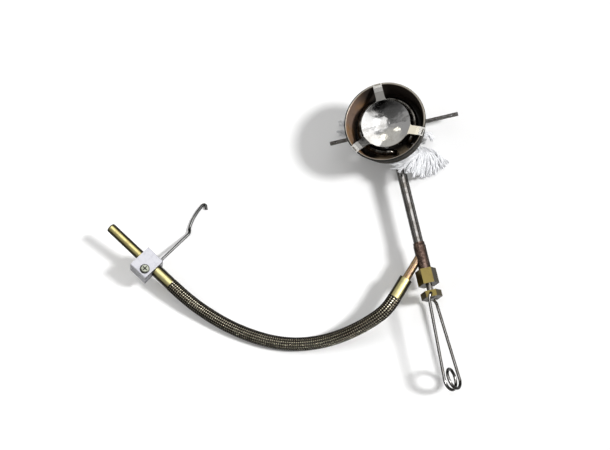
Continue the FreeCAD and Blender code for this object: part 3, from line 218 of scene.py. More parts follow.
def helical_copies_group():
    """Copies of a curve, wound round it side by side. They keep the wave as an attribute, crest."""
    tree, entry, leave = new_tree("helical_copies", "GeometryNodeTree", (
        ("Curve", "NodeSocketGeometry", None),
        ("Copies", "NodeSocketInt", 3),
        ("Radius", "NodeSocketFloat", 0.001),
        ("Pitch", "NodeSocketFloat", 0.02),
        ("Rise", "NodeSocketFloat", 0.0),
        ("Rise Spacing", "NodeSocketFloat", 0.001),
    ), (("Curve", "NodeSocketGeometry"),))
    into = entry.outputs
    kept = add(tree, "GeometryNodeCaptureAttribute", domain="POINT")
    kept.capture_items.new("VECTOR", "Tangent")
    kept.capture_items.new("VECTOR", "Normal")
    kept.capture_items.new("FLOAT", "Length")
    feed(tree, kept.inputs["Geometry"], into["Curve"])
    feed(tree, kept.inputs["Tangent"], tree.nodes.new("GeometryNodeInputTangent").outputs[0])
    feed(tree, kept.inputs["Normal"], tree.nodes.new("GeometryNodeInputNormal").outputs[0])
    feed(tree, kept.inputs["Length"], tree.nodes.new("GeometryNodeSplineParameter").outputs["Length"])
    copies = add(tree, "GeometryNodeDuplicateElements",
                 {"Geometry": kept.outputs["Geometry"], "Amount": into["Copies"]}, domain="SPLINE")
    along = sums(tree, "DIVIDE", kept.outputs["Length"], into["Pitch"])
    place = sums(tree, "DIVIDE", copies.outputs["Duplicate Index"], into["Copies"])
    angle = sums(tree, "MULTIPLY", sums(tree, "ADD", along, place), TURN)
    across = vectors(tree, "CROSS_PRODUCT", kept.outputs["Tangent"], kept.outputs["Normal"])
    outward = vectors(
        tree, "ADD",
        vectors(tree, "SCALE", kept.outputs["Normal"], scale=sums(tree, "COSINE", angle)),
        vectors(tree, "SCALE", across, scale=sums(tree, "SINE", angle)))
    beat = sums(tree, "DIVIDE", kept.outputs["Length"], into["Rise Spacing"])
    swing = sums(tree, "COSINE", sums(tree, "MULTIPLY", beat, TURN))
    wave = sums(tree, "MULTIPLY", swing, WAVE_BEFORE_CUT)
    flat_wave = add(tree, "ShaderNodeClamp", {"Value": wave, "Min": -1.0, "Max": 1.0}).outputs[0]
    distance = raised(tree, into["Radius"], flat_wave, into["Rise"])
    moved = add(tree, "GeometryNodeSetPosition", {
        "Geometry": copies.outputs["Geometry"], "Offset": vectors(tree, "SCALE", outward, scale=distance)})
    faced = add(tree, "GeometryNodeSetCurveNormal",
                {"Curve": moved.outputs[0], "Normal": outward}, mode="FREE")
    kept_wave = add(tree, "GeometryNodeStoreNamedAttribute", {
        "Geometry": faced.outputs[0], "Name": "crest", "Value": flat_wave},
        domain="POINT", data_type="FLOAT")
    feed(tree, leave.inputs["Curve"], kept_wave.outputs[0])
    return tree


HELICAL_COPIES = helical_copies_group()
print("group %s has %d nodes" % (HELICAL_COPIES.name, len(HELICAL_COPIES.nodes)))


def helical_copies(tree, curve, **values):
    """Place the group in a tree and return the wound curves."""
    return add_group(tree, "GeometryNodeGroup", HELICAL_COPIES, curve=curve, **values).outputs["Curve"]


# %% [markdown]
# What a tree makes still has to become a plain mesh, because the export drops instances and live
# modifiers. So each tree ends in Realize Instances and Set Material, and what it shows is copied
# into a mesh of its own before the modifier goes. A modifier knows its inputs by identifier and
# not by name, so the identifiers are looked up by name first.

# %% From a tree to a piece
def swept(tree, curve, section, material, scale=None):
    """Sweep a section along curves, smooth it and end the tree."""
    sweep = add(tree, "GeometryNodeCurveToMesh",
                {"Curve": curve, "Profile Curve": section, "Fill Caps": True})
    if scale is not None:
        feed(tree, sweep.inputs["Scale"], scale)
    smooth = add(tree, "GeometryNodeSetShadeSmooth", {"Geometry": sweep.outputs[0]})
    return finished(tree, smooth.outputs[0], material)


def finished(tree, geometry, material):
    """Plain geometry with its material: the end of every tree here."""
    plain = add(tree, "GeometryNodeRealizeInstances", {"Geometry": geometry})
    dressed = add(tree, "GeometryNodeSetMaterial", {"Geometry": plain.outputs[0], "Material": material})
    return dressed.outputs[0]


def grow(name, base, tree, **values):
    """Run a tree on an object and keep the result as a plain mesh object."""
    modifier = base.modifiers.new(tree.name, "NODES")
    modifier.node_group = tree
    wanted = {socket_title(key): value for key, value in values.items()}
    for item in tree.interface.items_tree:
        if item.item_type == "SOCKET" and item.in_out == "INPUT" and item.name in wanted:
            modifier[item.identifier] = wanted.pop(item.name)
    if wanted:
        raise ValueError("%s has no input called %s" % (tree.name, sorted(wanted)))
    piece = placed(name, evaluated_mesh(base))
    base.modifiers.remove(modifier)
    print("%s: %d faces" % (name, len(piece.data.polygons)))
    return piece


# %% [markdown]
# Before any piece is made it needs something to wear. A finish here is a Principled BSDF whose
# colour, roughness and relief change over the surface. What several finishes share sits in shader
# groups. The first two are on nearly every part: stains in patches, from noise that is cut between
# two levels, and tool marks, from noise that is stretched the way the tool went.

# %% Stains and tool marks
def stains_group():
    """Soft-edged patches, with finer speckle at their borders."""
    tree, entry, leave = new_tree("stains", "ShaderNodeTree", (
        ("Vector", "NodeSocketVector", None),
        ("Scale", "NodeSocketFloat", 300.0),
        ("Start", "NodeSocketFloat", 0.45),
        ("Full", "NodeSocketFloat", 0.6),
    ), (("Mask", "NodeSocketFloat"),))
    noise = add(tree, "ShaderNodeTexNoise", {
        "Vector": entry.outputs["Vector"], "Scale": entry.outputs["Scale"],
        "Detail": 6.0, "Roughness": 0.62})
    mask = ramp(tree, noise.outputs["Fac"], entry.outputs["Start"], entry.outputs["Full"], smooth=True)
    feed(tree, leave.inputs["Mask"], mask)
    return tree


def marks_group():
    """Fine lines across the direction that is stretched most, as a tool leaves them."""
    tree, entry, leave = new_tree("tool_marks", "ShaderNodeTree", (
        ("Vector", "NodeSocketVector", None),
        ("Stretch", "NodeSocketVector", (100.0, 3000.0, 100.0)),
    ), (("Height", "NodeSocketFloat"),))
    vector = vectors(tree, "MULTIPLY", entry.outputs["Vector"], entry.outputs["Stretch"])
    noise = add(tree, "ShaderNodeTexNoise", {
        "Vector": vector, "Scale": 1.0, "Detail": 3.0, "Roughness": 0.7})
    feed(tree, leave.inputs["Height"], noise.outputs["Fac"])
    return tree


STAINS = stains_group()
MARKS = marks_group()

# %% [markdown]
# Other effects follow the shape. Spinning and facing leave rings round an axis, so their noise has
# one dimension, the radius. Soot and heat end at a height but never in a sharp line, so that
# border is pushed about by noise. Thin sheet that was pressed or heated is never quite flat, which
# slow noise gives, and a mirror shows it at once.

# %% Rings, borders and waves
def rings_group():
    """Fine rings round the Z axis, as on spun or faced metal."""
    tree, entry, leave = new_tree("spun_rings", "ShaderNodeTree", (
        ("Vector", "NodeSocketVector", None),
        ("Rings Per Metre", "NodeSocketFloat", 2500.0),
    ), (("Height", "NodeSocketFloat"),))
    flat = vectors(tree, "MULTIPLY", entry.outputs["Vector"], (1.0, 1.0, 0.0))
    count = sums(tree, "MULTIPLY", vectors(tree, "LENGTH", flat), entry.outputs["Rings Per Metre"])
    noise = add(tree, "ShaderNodeTexNoise", {"W": count, "Scale": 1.0, "Detail": 2.0},
                noise_dimensions="1D")
    feed(tree, leave.inputs["Height"], noise.outputs["Fac"])
    return tree


def height_group():
    """How far a place is along a direction, from one distance to another, with a ragged border."""
    tree, entry, leave = new_tree("ragged_height", "ShaderNodeTree", (
        ("Vector", "NodeSocketVector", None),
        ("Direction", "NodeSocketVector", (0.0, 0.0, 1.0)),
        ("Low", "NodeSocketFloat", 0.02),
        ("High", "NodeSocketFloat", 0.03),
        ("Raggedness", "NodeSocketFloat", 0.002),
        ("Scale", "NodeSocketFloat", 150.0),
    ), (("Mask", "NodeSocketFloat"),))
    noise = add(tree, "ShaderNodeTexNoise", {
        "Vector": entry.outputs["Vector"], "Scale": entry.outputs["Scale"], "Detail": 4.0})
    shift = sums(tree, "MULTIPLY", sums(tree, "SUBTRACT", noise.outputs["Fac"], 0.5),
                 sums(tree, "MULTIPLY", entry.outputs["Raggedness"], 2.0))
    height = vectors(tree, "DOT_PRODUCT", entry.outputs["Vector"], entry.outputs["Direction"])
    mask = ramp(tree, sums(tree, "ADD", height, shift), entry.outputs["Low"], entry.outputs["High"],
                smooth=True)
    feed(tree, leave.inputs["Mask"], mask)
    return tree


def waves_group():
    """Slow smooth waves, as in thin sheet that was pressed or heated."""
    tree, entry, leave = new_tree("sheet_waves", "ShaderNodeTree", (
        ("Vector", "NodeSocketVector", None),
        ("Scale", "NodeSocketFloat", 80.0),
    ), (("Height", "NodeSocketFloat"),))
    noise = add(tree, "ShaderNodeTexNoise", {
        "Vector": entry.outputs["Vector"], "Scale": entry.outputs["Scale"], "Detail": 1.0, "Roughness": 0.3})
    feed(tree, leave.inputs["Height"], noise.outputs["Fac"])
    return tree


RINGS = rings_group()
RAGGED_HEIGHT = height_group()
WAVES = waves_group()
print("shader groups:", ", ".join(group.name for group in (STAINS, MARKS, RINGS, RAGGED_HEIGHT, WAVES)))

# %% [markdown]
# A small class keeps a material and its tree together. Its methods place the shared groups, mix
# colours by a mask and turn masks into roughness or relief, so that each finish below is a few
# readable lines. Patterns follow Object coordinates, which are metres in the frame.

# %% A finish and its parts
def rgba(colour):
    """A plain colour gets its alpha, and a socket stays as it is."""
    return colour if isinstance(colour, bpy.types.NodeSocket) else (*colour, 1)


class Finish:
    """A material whose colour, roughness and relief follow masks."""
    # The Mix node has sockets of one name for each kind of data, so its colours go by number.
    MIX_FIRST = 6
    MIX_SECOND = 7
    MIX_RESULT = 2

    def __init__(self, name, metallic=1.0, turned=None):
        self.material = bpy.data.materials.new(name)
        self.material.use_nodes = True
        self.tree = self.material.node_tree
        self.surface = self.tree.nodes["Principled BSDF"]
        self.surface.inputs["Metallic"].default_value = metallic
        where = self.tree.nodes.new("ShaderNodeTexCoord").outputs["Object"]
        if turned is not None:
            where = add(self.tree, "ShaderNodeMapping", {"Vector": where, "Rotation": turned}).outputs[0]
        self.where = where

    def group(self, node_tree, output, **values):
        """Place a shared group and return one of its outputs."""
        node = add_group(self.tree, "ShaderNodeGroup", node_tree, vector=self.where, **values)
        return node.outputs[output]

    def stains(self, scale, start, full):
        return self.group(STAINS, "Mask", scale=scale, start=start, full=full)

    def marks(self, stretch):
        return self.group(MARKS, "Height", stretch=stretch)

    def waves(self, scale):
        return self.group(WAVES, "Height", scale=scale)

    def rings(self, per_metre):
        return self.group(RINGS, "Height", rings_per_metre=per_metre)

    def above(self, low, high, raggedness=0.0, scale=150.0, direction=(0.0, 0.0, 1.0)):
        """Mask of what lies further along a direction than the two distances in millimetres."""
        return self.group(RAGGED_HEIGHT, "Mask", low=low * MM, high=high * MM,
                          raggedness=raggedness * MM, scale=scale, direction=direction)

    def beyond(self, low, high):
        """Mask of what lies further from the upright axis than the two radii in millimetres."""
        flat = vectors(self.tree, "MULTIPLY", self.where, (1.0, 1.0, 0.0))
        squared = vectors(self.tree, "DOT_PRODUCT", flat, flat)
        return ramp(self.tree, squared, (low * MM) ** 2, (high * MM) ** 2)

    def attribute(self, name):
        """A value that the geometry carries with it."""
        return add(self.tree, "ShaderNodeAttribute", attribute_name=name).outputs["Fac"]

    def mix(self, mask, first, second):
        """Colour that goes from the first to the second with the mask."""
        inputs = {"Factor": mask, self.MIX_FIRST: rgba(first), self.MIX_SECOND: rgba(second)}
        return add(self.tree, "ShaderNodeMix", inputs, data_type="RGBA").outputs[self.MIX_RESULT]

    def between(self, mask, low, high):
        """A value that goes from low to high with the mask."""
        return ramp(self.tree, mask, 0.0, 1.0, low, high)

    def but(self, mask):
        """Full where the mask is empty."""
        return opposite(self.tree, mask)

    def both(self, first, second):
        """Mask of what lies under two masks."""
        return sums(self.tree, "MULTIPLY", first, second)

    def either(self, first, second):
        """Mask of what lies under one of two masks."""
        return sums(self.tree, "MAXIMUM", first, second)

    def shaded_at_sides(self, colour, dark, start, full):
        """Painted shade: the colour goes to the dark one where the metal turns away from the eye."""
        # Painted shade, from how far the surface turns away from the eye.
        facing = add(self.tree, "ShaderNodeLayerWeight", {"Blend": 0.5}).outputs["Facing"]
        return self.mix(ramp(self.tree, facing, start, full, smooth=True), colour, dark)

    def colour(self, value):
        feed(self.tree, self.surface.inputs["Base Color"], value)

    def roughness(self, value):
        feed(self.tree, self.surface.inputs["Roughness"], value)

    def relief(self, *layers):
        """Bump from pairs of a height and its depth in millimetres."""
        normal = None
        for height, depth in layers:
            bump = add(self.tree, "ShaderNodeBump", {"Height": height, "Distance": depth * MM})
            if normal is not None:
                feed(self.tree, bump.inputs["Normal"], normal)
            normal = bump.outputs[0]
        feed(self.tree, self.surface.inputs["Normal"], normal)


# %% [markdown]
# Most metal here has aged in one way: clean where hands rub it, stained in patches and marked by
# the tool that made it. On top of that it gets painted shade, dark where it turns away from the eye.
# One function says all that, and each piece gives it its own colours, patches and way of the marks. A part
# of the frame is only
# handed the material, because its shape is settled, and finishes that follow a shape measure it.

# %% Worn metal, and parts that wear it
MARKS_IN_ROUGHNESS = 0.12


def worn_metal(name, clean, stained, shine, dull, patch=350.0, stretch=(200.0, 200.0, 2500.0),
               depth=0.004, turned=None, start=0.42, full=0.62, edge=0.3, sides=(0.12, 0.6)):
    """Stained, tool-marked metal with painted shade at the sides. The edge is the share left at the sides.
    """
    finish = Finish(name, turned=turned)
    mask = finish.stains(patch, start, full)
    marks = finish.marks(stretch)
    # Painted shade: at the sides the colour goes to the stained one times the edge.
    side = tuple(part * edge for part in stained)
    finish.colour(finish.shaded_at_sides(finish.mix(mask, clean, stained), side, *sides))
    marks_about_zero = sums(finish.tree, "SUBTRACT", marks, 0.5)
    finish.roughness(raised(finish.tree, finish.between(mask, shine, dull), marks_about_zero,
                            MARKS_IN_ROUGHNESS))
    finish.relief((marks, depth))
    return finish


def dress(finish, slot, *names):
    """Give CAD nodes a finish. Their meshes stay as they are."""
    for name in names:
        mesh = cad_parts[name].data
        mesh.materials.clear()
        mesh.materials.append(finish.material)
    print("%s: %s" % (slot, ", ".join(names)))


def top_of(name, up=Vector((0, 0, 1))):
    """How far a CAD node reaches in a direction, in millimetres."""
    return max(up.dot(vertex.co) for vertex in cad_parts[name].data.vertices) / MM


def radius_of(name):
    """How far a CAD node reaches from the upright axis, in millimetres."""
    return max(vertex.co.xy.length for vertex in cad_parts[name].data.vertices) / MM


# %% [markdown]
# The bell is thin steel that has been red-hot many times. Heat leaves thin oxide films, so the
# wall is brown with warm straw patches. Its far right is painted darker, as painted shade where the
# wall turns from the lamp. Soot has made the floor black but for its near side, and the outside
# dull and dark all round. The outer half of the rolled rim is burnt black too, except at the far
# right, and a thin line on its crown stays bare, where the windscreen rubs it. All of this is one
# material, mixed by height, by direction and by patches.

# %% Bell
RIM_TOP = top_of("burner_bell")
RIM_BEAD = 1.5
RIM_FOOT = RIM_TOP - RIM_BEAD
BEAD_MIDDLE = radius_of("burner_bell") - RIM_BEAD / 2
SOOT_FULL = 23.4
SOOT_ENDS = 26.5
FACES_OUT = 4.0 * MM
BELL_METALLIC = 0.4


def heat_tinted_bell():
    finish = Finish("bell_heat_tinted", metallic=BELL_METALLIC)
    brown = finish.mix(finish.stains(70.0, 0.42, 0.62), (0.30, 0.205, 0.155), (0.40, 0.225, 0.10))
    blotched = finish.mix(finish.stains(260.0, 0.52, 0.72), brown, (0.19, 0.14, 0.115))
    far_side = finish.above(-3.0, 9.0, 4.0, 60.0, direction=(0.8, 0.6, 0.0))
    near_side = finish.above(12.0, 17.0, 3.0, 60.0, direction=(0.1, -1.0, 0.0))
    far_right = finish.above(6.0, 16.0, direction=(0.75, 0.66, 0.0))
    # Painted shade: the wall at the far right is painted dark, where it faces away from the lamp.
    shaded = finish.mix(far_side, blotched, (0.06, 0.047, 0.04))
    floor = finish.mix(near_side, (0.02, 0.018, 0.017), (0.36, 0.29, 0.20))
    sooty_and_shaded = finish.mix(finish.above(SOOT_FULL, SOOT_ENDS, 1.5), floor, shaded)
    normal = finish.tree.nodes.new("ShaderNodeNewGeometry").outputs["Normal"]
    from_axis = vectors(finish.tree, "MULTIPLY", finish.where, (1.0, 1.0, 0.0))
    outside = ramp(finish.tree, vectors(finish.tree, "DOT_PRODUCT", normal, from_axis), 0.0, FACES_OUT)
    walls = finish.mix(outside, sooty_and_shaded, (0.026, 0.022, 0.016))
    crown = finish.above(RIM_TOP - 0.2, RIM_TOP - 0.1, 0.03, 400.0)
    bare_line = finish.mix(crown, walls, (0.36, 0.33, 0.28))
    bead_above = finish.above(RIM_FOOT - 0.1, RIM_FOOT + 0.1)
    outer_half = finish.both(bead_above, finish.beyond(BEAD_MIDDLE - 0.2, BEAD_MIDDLE))
    blackened = finish.both(outer_half, finish.but(far_right))
    finish.colour(finish.mix(blackened, bare_line, (0.012, 0.011, 0.010)))
    feed(finish.tree, finish.surface.inputs["Metallic"], finish.between(blackened, BELL_METALLIC, 0.0))
    rough = finish.between(finish.stains(500.0, 0.4, 0.65), 0.34, 0.48)
    finish.roughness(raised(finish.tree, rough, finish.either(blackened, outside), 0.4))
    finish.surface.inputs["Specular IOR Level"].default_value = 0.3
    finish.relief((finish.waves(160.0), 0.05), (finish.marks((250.0, 250.0, 2600.0)), 0.004))
    return finish


dress(heat_tinted_bell(), "bell_steel", "burner_bell")
print("bell: rim top %.1f mm, middle of its bead %.1f mm from the axis" % (RIM_TOP, BEAD_MIDDLE))

# %% [markdown]
# Fuel turns to gas in the pipe that loops over the flame. The pipe is steel, nearly black with
# burnt fuel, and its few clean patches still shine, so the patches set both colour and roughness.
# The cup below is the same steel under a duller coat of soot.

# %% Feed pipe and cup
def sooty_feed_pipe():
    finish = Finish("feed_pipe_tinted")
    mask = finish.stains(220.0, 0.40, 0.6)
    pipe = finish.mix(mask, (0.20, 0.19, 0.175), (0.03, 0.025, 0.02))
    # Painted shade: the pipe goes darker still at its sides, where it turns away from the eye.
    finish.colour(finish.shaded_at_sides(pipe, (0.010, 0.009, 0.008), 0.04, 0.32))
    finish.roughness(finish.between(mask, 0.12, 0.3))
    finish.relief((finish.marks((1200.0, 1200.0, 1200.0)), 0.003))
    return finish


dress(sooty_feed_pipe(), "feed_steel", "generator_loop")
dress(worn_metal("cup_sooted", (0.30, 0.28, 0.26), (0.07, 0.06, 0.055), 0.35, 0.65, patch=180.0),
      "cup_steel", "priming_cup")

# %% [markdown]
# The spreader plate is stainless steel, spun to a shallow dish and polished. It is the brightest
# piece, and what it shows is mostly its surroundings, so a plain mirror would look empty. Rings
# from spinning and the slow waves of thin heated sheet break the reflection up. The cut edge of
# the dish and the ends of its three feet are dull, and painted pale as a painted highlight.

# %% Spreader plate
PLATE_TOP = top_of("spreader_plate")
DISH_EDGE_TOP = 34.7
DISH_RADIUS = 15.2


def polished_plate():
    finish = Finish("plate_polished")
    haze = finish.stains(110.0, 0.45, 0.7)
    foot = finish.above(PLATE_TOP - 1.05, PLATE_TOP - 0.85)
    body = finish.mix(haze, (0.82, 0.81, 0.80), (0.66, 0.64, 0.61))
    legs = finish.above(DISH_EDGE_TOP - 0.08, DISH_EDGE_TOP + 0.1)
    steel = finish.mix(legs, body, (0.62, 0.60, 0.57))
    on_dish = finish.but(finish.above(DISH_EDGE_TOP - 0.1, DISH_EDGE_TOP))
    cut_edge = finish.both(finish.beyond(DISH_RADIUS - 0.4, DISH_RADIUS - 0.2), on_dish)
    # Painted highlight: the cut edge and the ends of the feet are painted pale; they are rougher too.
    finish.colour(finish.mix(finish.either(foot, cut_edge), steel, (0.92, 0.90, 0.86)))
    rough = raised(finish.tree, finish.between(haze, 0.05, 0.11), foot, 0.2)
    finish.roughness(raised(finish.tree, rough, cut_edge, 0.45))
    finish.relief((finish.waves(120.0), 0.10), (finish.waves(330.0), 0.035), (finish.waves(900.0), 0.005),
                  (finish.rings(2400.0), 0.001))
    return finish


dress(polished_plate(), "plate_steel", "spreader_plate")

# %% [markdown]
# The rest of the burner's steel is plain bar, tube and wire. Drawing leaves faint lines along the
# metal and turning leaves them around it, so each finish stretches its marks the way its piece
# was made.

# %% Steel rod, neck, valve and handle
ALONG_X = (150.0, 2600.0, 2600.0)
ALONG_Y = (2600.0, 150.0, 2600.0)
AROUND_Y = (150.0, 2600.0, 150.0)

dress(worn_metal("rod_dull_steel", (0.30, 0.29, 0.28), (0.17, 0.155, 0.14), 0.3, 0.5,
                 stretch=ALONG_X),
      "rod_steel", "support_rod")
dress(worn_metal("neck_dull_steel", (0.46, 0.445, 0.43), (0.26, 0.24, 0.22), 0.14, 0.25, patch=150.0,
                 stretch=ALONG_Y, edge=0.12, sides=(0.1, 0.5)),
      "neck_steel", "neck_tube")
dress(worn_metal("valve_turned_steel", (0.42, 0.405, 0.385), (0.27, 0.25, 0.225), 0.2, 0.4,
                 stretch=AROUND_Y),
      "valve_steel", "needle", "spindle")
dress(worn_metal("handle_steel_wire", (0.42, 0.41, 0.40), (0.30, 0.28, 0.26), 0.2, 0.3, patch=200.0,
                 stretch=(400.0, 60.0, 400.0), depth=0.001, edge=0.06, sides=(0.03, 0.3)),
      "handle_steel", "handle_wire")

# %% [markdown]
# Brass is yellow where it is bright and brown where it has been handled or heated. Near the flame
# it has gone dark, and the sleeve has the mottled pink-brown of copper where flux touched it. The
# gland nut and the knob are turned by hand, so they are worn evenly, in large soft patches.

# %% Brass near the burner
CLEAN_BRASS = (0.84, 0.76, 0.37)
BROWN_BRASS = (0.30, 0.20, 0.085)

dress(worn_metal("jet_machined_brass", CLEAN_BRASS, BROWN_BRASS, 0.22, 0.45),
      "jet_brass", "jet", "needle_guide", "gland_washer", "burner_insert", "plug_insert")
dress(worn_metal("block_dark_brass", (0.34, 0.25, 0.12), (0.12, 0.085, 0.05), 0.35, 0.6, patch=200.0),
      "block_brass", "jet_block", "bell_nut")
dress(worn_metal("sleeve_mottled_brass", (0.27, 0.185, 0.15), (0.095, 0.062, 0.05), 0.3, 0.5,
                 patch=420.0, stretch=AROUND_Y, depth=0.006, start=0.42, full=0.56, edge=0.2,
                 sides=(0.1, 0.5)),
      "sleeve_brass", "valve_sleeve")
dress(worn_metal("gland_worn_brass", (0.235, 0.185, 0.062), (0.185, 0.135, 0.055), 0.3, 0.42, patch=120.0,
                 stretch=AROUND_Y, depth=0.002, start=0.45, full=0.7, edge=0.12, sides=(0.3, 0.62)),
      "gland_brass", "gland_nut", "valve_knob")

# %% [markdown]
# The tubes at the ends of the hose point their own ways, and turning marks run round a tube. So
# these finishes turn their pattern first, until the tube's axis lies along Y. The ferrules and the
# plug are the cleanest brass, and the short inlet tube between hose and valve is pink copper.

# %% Inlet tube, ferrules and plug
HOSE_EXIT_TURN = (0.0, 0.0, math.radians(45))
PLUG_AXIS = Vector((0.534, -0.816, -0.22))
PLUG_TURN = tuple(PLUG_AXIS.rotation_difference(Vector((0, 1, 0))).to_euler())
FERRULE_LOOK = dict(clean=CLEAN_BRASS, stained=(0.52, 0.42, 0.18), shine=0.34, dull=0.44, patch=260.0,
                    stretch=AROUND_Y, depth=0.002, start=0.5, full=0.75, edge=0.03, sides=(0.08, 0.3))

dress(worn_metal("inlet_copper_pink", (0.62, 0.42, 0.29), (0.42, 0.29, 0.13), 0.22, 0.38, patch=280.0,
                 stretch=AROUND_Y, turned=HOSE_EXIT_TURN, edge=0.2),
      "inlet_copper", "inlet_tube")
dress(worn_metal("ferrule_bright_brass", turned=HOSE_EXIT_TURN, **FERRULE_LOOK),
      "ferrule_brass", "burner_ferrule")
dress(worn_metal("ferrule_bright_brass_plug", turned=PLUG_TURN, **FERRULE_LOOK),
      "ferrule_brass", "plug_ferrule")
dress(worn_metal("plug_turned_brass", (0.80, 0.71, 0.32), (0.60, 0.50, 0.22), 0.34, 0.42, patch=200.0,
                 stretch=AROUND_Y, depth=0.002, turned=PLUG_TURN, start=0.46, full=0.7, edge=0.03,
                 sides=(0.08, 0.3)),
      "plug_brass", "plug_tube")

# %% [markdown]
# The clamp is a milled block of light alloy, satin and pale, with a cross-recess screw through its
# ear. The recess and the screw's side are painted dark, a painted shade. A bitmap could show that,
# but a mask that follows the depth below the screw's own top needs none and stays sharp close up.

# %% Clamp and its screw
CLAMP_UP = Vector((0.376, -0.003, 0.927)).normalized()
SCREW_TOP = top_of("clamp_screw", CLAMP_UP)
# Painted shade: depths below the screw's top where the dark in the recess is full and where it ends.
SHADE_FULL_DEPTH = 0.75
SHADE_ENDS_DEPTH = 0.35


def satin_alloy():
    finish = Finish("clamp_satin_alloy", metallic=0.4, turned=PLUG_TURN)
    mask = finish.stains(420.0, 0.45, 0.7)
    alloy = finish.mix(mask, (0.53, 0.53, 0.57), (0.45, 0.45, 0.49))
    # Painted shade: the block darkens at its sides, where it turns away from the eye.
    finish.colour(finish.shaded_at_sides(alloy, (0.16, 0.16, 0.175), 0.3, 0.7))
    finish.roughness(finish.between(mask, 0.36, 0.5))
    finish.relief((finish.marks((2200.0, 180.0, 2200.0)), 0.004))
    return finish


def plated_screw():
    """Pale plated top, with painted shade dark in the recess and round the side."""
    finish = Finish("screw_plated_steel")
    mask = finish.stains(700.0, 0.42, 0.62)
    face = finish.mix(mask, (0.44, 0.46, 0.38), (0.30, 0.31, 0.26))
    # Painted shade: dark in the recess and round the side, below the screw's top.
    unshaded_face = finish.above(SCREW_TOP - SHADE_FULL_DEPTH, SCREW_TOP - SHADE_ENDS_DEPTH, direction=CLAMP_UP)
    finish.colour(finish.mix(unshaded_face, (0.03, 0.03, 0.026), face))
    finish.roughness(finish.between(mask, 0.28, 0.4))
    finish.relief((finish.marks((1500.0, 1500.0, 1500.0)), 0.003))
    return finish


dress(satin_alloy(), "clamp_aluminium", "clamp_block")
dress(plated_screw(), "screw_steel", "clamp_screw")
dress(worn_metal("nut_dull_steel", (0.27, 0.27, 0.235), (0.13, 0.125, 0.10), 0.3, 0.45, patch=700.0),
      "screw_steel", "clamp_nut", "catch_pin")

# %% [markdown]
# The catch beside the clamp is hard spring wire with a satin surface. A real wire so thin shows one
# line of light, so it needs hardly any pattern. Inside the hose is a smooth dark liner, and the
# packing in the gland is pressed graphite: neither shows, but a cut-away view would.

# %% Catch, liner and packing
PALER_PATCH = 1.6


def dull_black(name, grey, rough):
    """A black that is no metal, with slightly paler and rougher patches."""
    finish = Finish(name, metallic=0.0)
    mask = finish.stains(900.0, 0.4, 0.6)
    finish.colour(finish.mix(mask, (grey,) * 3, (grey * PALER_PATCH,) * 3))
    finish.roughness(finish.between(mask, rough, rough + 0.15))
    finish.relief((mask, 0.01))
    return finish


dress(worn_metal("catch_bright_wire", (0.17, 0.17, 0.166), (0.12, 0.118, 0.112), 0.42, 0.5, patch=300.0,
                 stretch=(300.0, 300.0, 300.0), depth=0.001, start=0.5, full=0.75, edge=0.1,
                 sides=(0.02, 0.22)),
      "catch_steel", "catch_wire")
dress(dull_black("packing_pressed_graphite", 0.05, 0.5), "packing_graphite", "packing_ring")
dress(dull_black("liner_smooth", 0.03, 0.35), "liner_plastic", "hose_liner")

# %% [markdown]
# The braid is fourteen flat bundles of wire each way, and each bundle passes over one of its
# neighbours and under the next. Seen from above, the places where a bundle comes up form rows of
# bright beads. A bundle is drawn as one outline of three wires side by side, because wires of
# their own would need far more faces and look the same from any distance.

# %% Outline of one bundle
BRAID_CARRIERS = 14
BEAD_SPACING = 1.41 * MM
BRAID_PITCH = BRAID_CARRIERS * BEAD_SPACING
BRAID_MIDDLE = 3.87 * MM
BRAID_RISE = 0.17 * MM
SAMPLES_PER_BEAD = 6
SAMPLE_LENGTH = BEAD_SPACING / SAMPLES_PER_BEAD
THREE_WIRES = (
    (0.0, -0.44), (0.14, -0.29), (0.05, -0.145), (0.14, 0.0), (0.05, 0.145), (0.14, 0.29), (0.0, 0.44),
    (-0.12, 0.22), (-0.12, -0.22),
)


def section_curve(name, corners):
    """A closed outline in millimetres, to sweep along a strand."""
    data = bpy.data.curves.new(name, "CURVE")
    spline = data.splines.new("POLY")
    spline.points.add(len(corners) - 1)
    for point, (x, y) in zip(spline.points, corners):
        point.co = (x * MM, y * MM, 0, 1)
    spline.use_cyclic_u = True
    return placed(name, data)


three_wires = section_curve("three_wires", THREE_WIRES)
print("outline of %d corners, %d bundles each way" % (len(THREE_WIRES), BRAID_CARRIERS))

# %% [markdown]
# One tree weaves all the bundles of one direction. It cuts the hose's line into even steps, six to
# a bead so that the wave stays round, winds the strands with the group from before and sweeps the
# outline along them. Run twice, with pitch and rise turned about, it gives both directions, and
# one goes under where the other goes over.

# %% Braid tree
def braid_tree():
    """All the bundles of one direction, along an object's line."""
    tree, entry, leave = new_tree("braid_one_way", "GeometryNodeTree", (
        ("Geometry", "NodeSocketGeometry", None),
        ("Carriers", "NodeSocketInt", BRAID_CARRIERS),
        ("Radius", "NodeSocketFloat", BRAID_MIDDLE),
        ("Pitch", "NodeSocketFloat", BRAID_PITCH),
        ("Rise", "NodeSocketFloat", BRAID_RISE),
        ("Bead Spacing", "NodeSocketFloat", BEAD_SPACING),
        ("Sample Length", "NodeSocketFloat", SAMPLE_LENGTH),
        ("Section", "NodeSocketObject", None),
        ("Material", "NodeSocketMaterial", None),
    ), (("Geometry", "NodeSocketGeometry"),))
    into = entry.outputs
    line = add(tree, "GeometryNodeMeshToCurve", {"Mesh": into["Geometry"]})
    even = add(tree, "GeometryNodeResampleCurve",
               {"Curve": line.outputs[0], "Length": into["Sample Length"]}, mode="LENGTH")
    wound = helical_copies(tree, even.outputs[0], copies=into["Carriers"], radius=into["Radius"],
                           pitch=into["Pitch"], rise=into["Rise"], rise_spacing=into["Bead Spacing"])
    section = add(tree, "GeometryNodeObjectInfo", {"Object": into["Section"]})
    feed(tree, leave.inputs[0], swept(tree, wound, section.outputs["Geometry"], into["Material"]))
    return tree


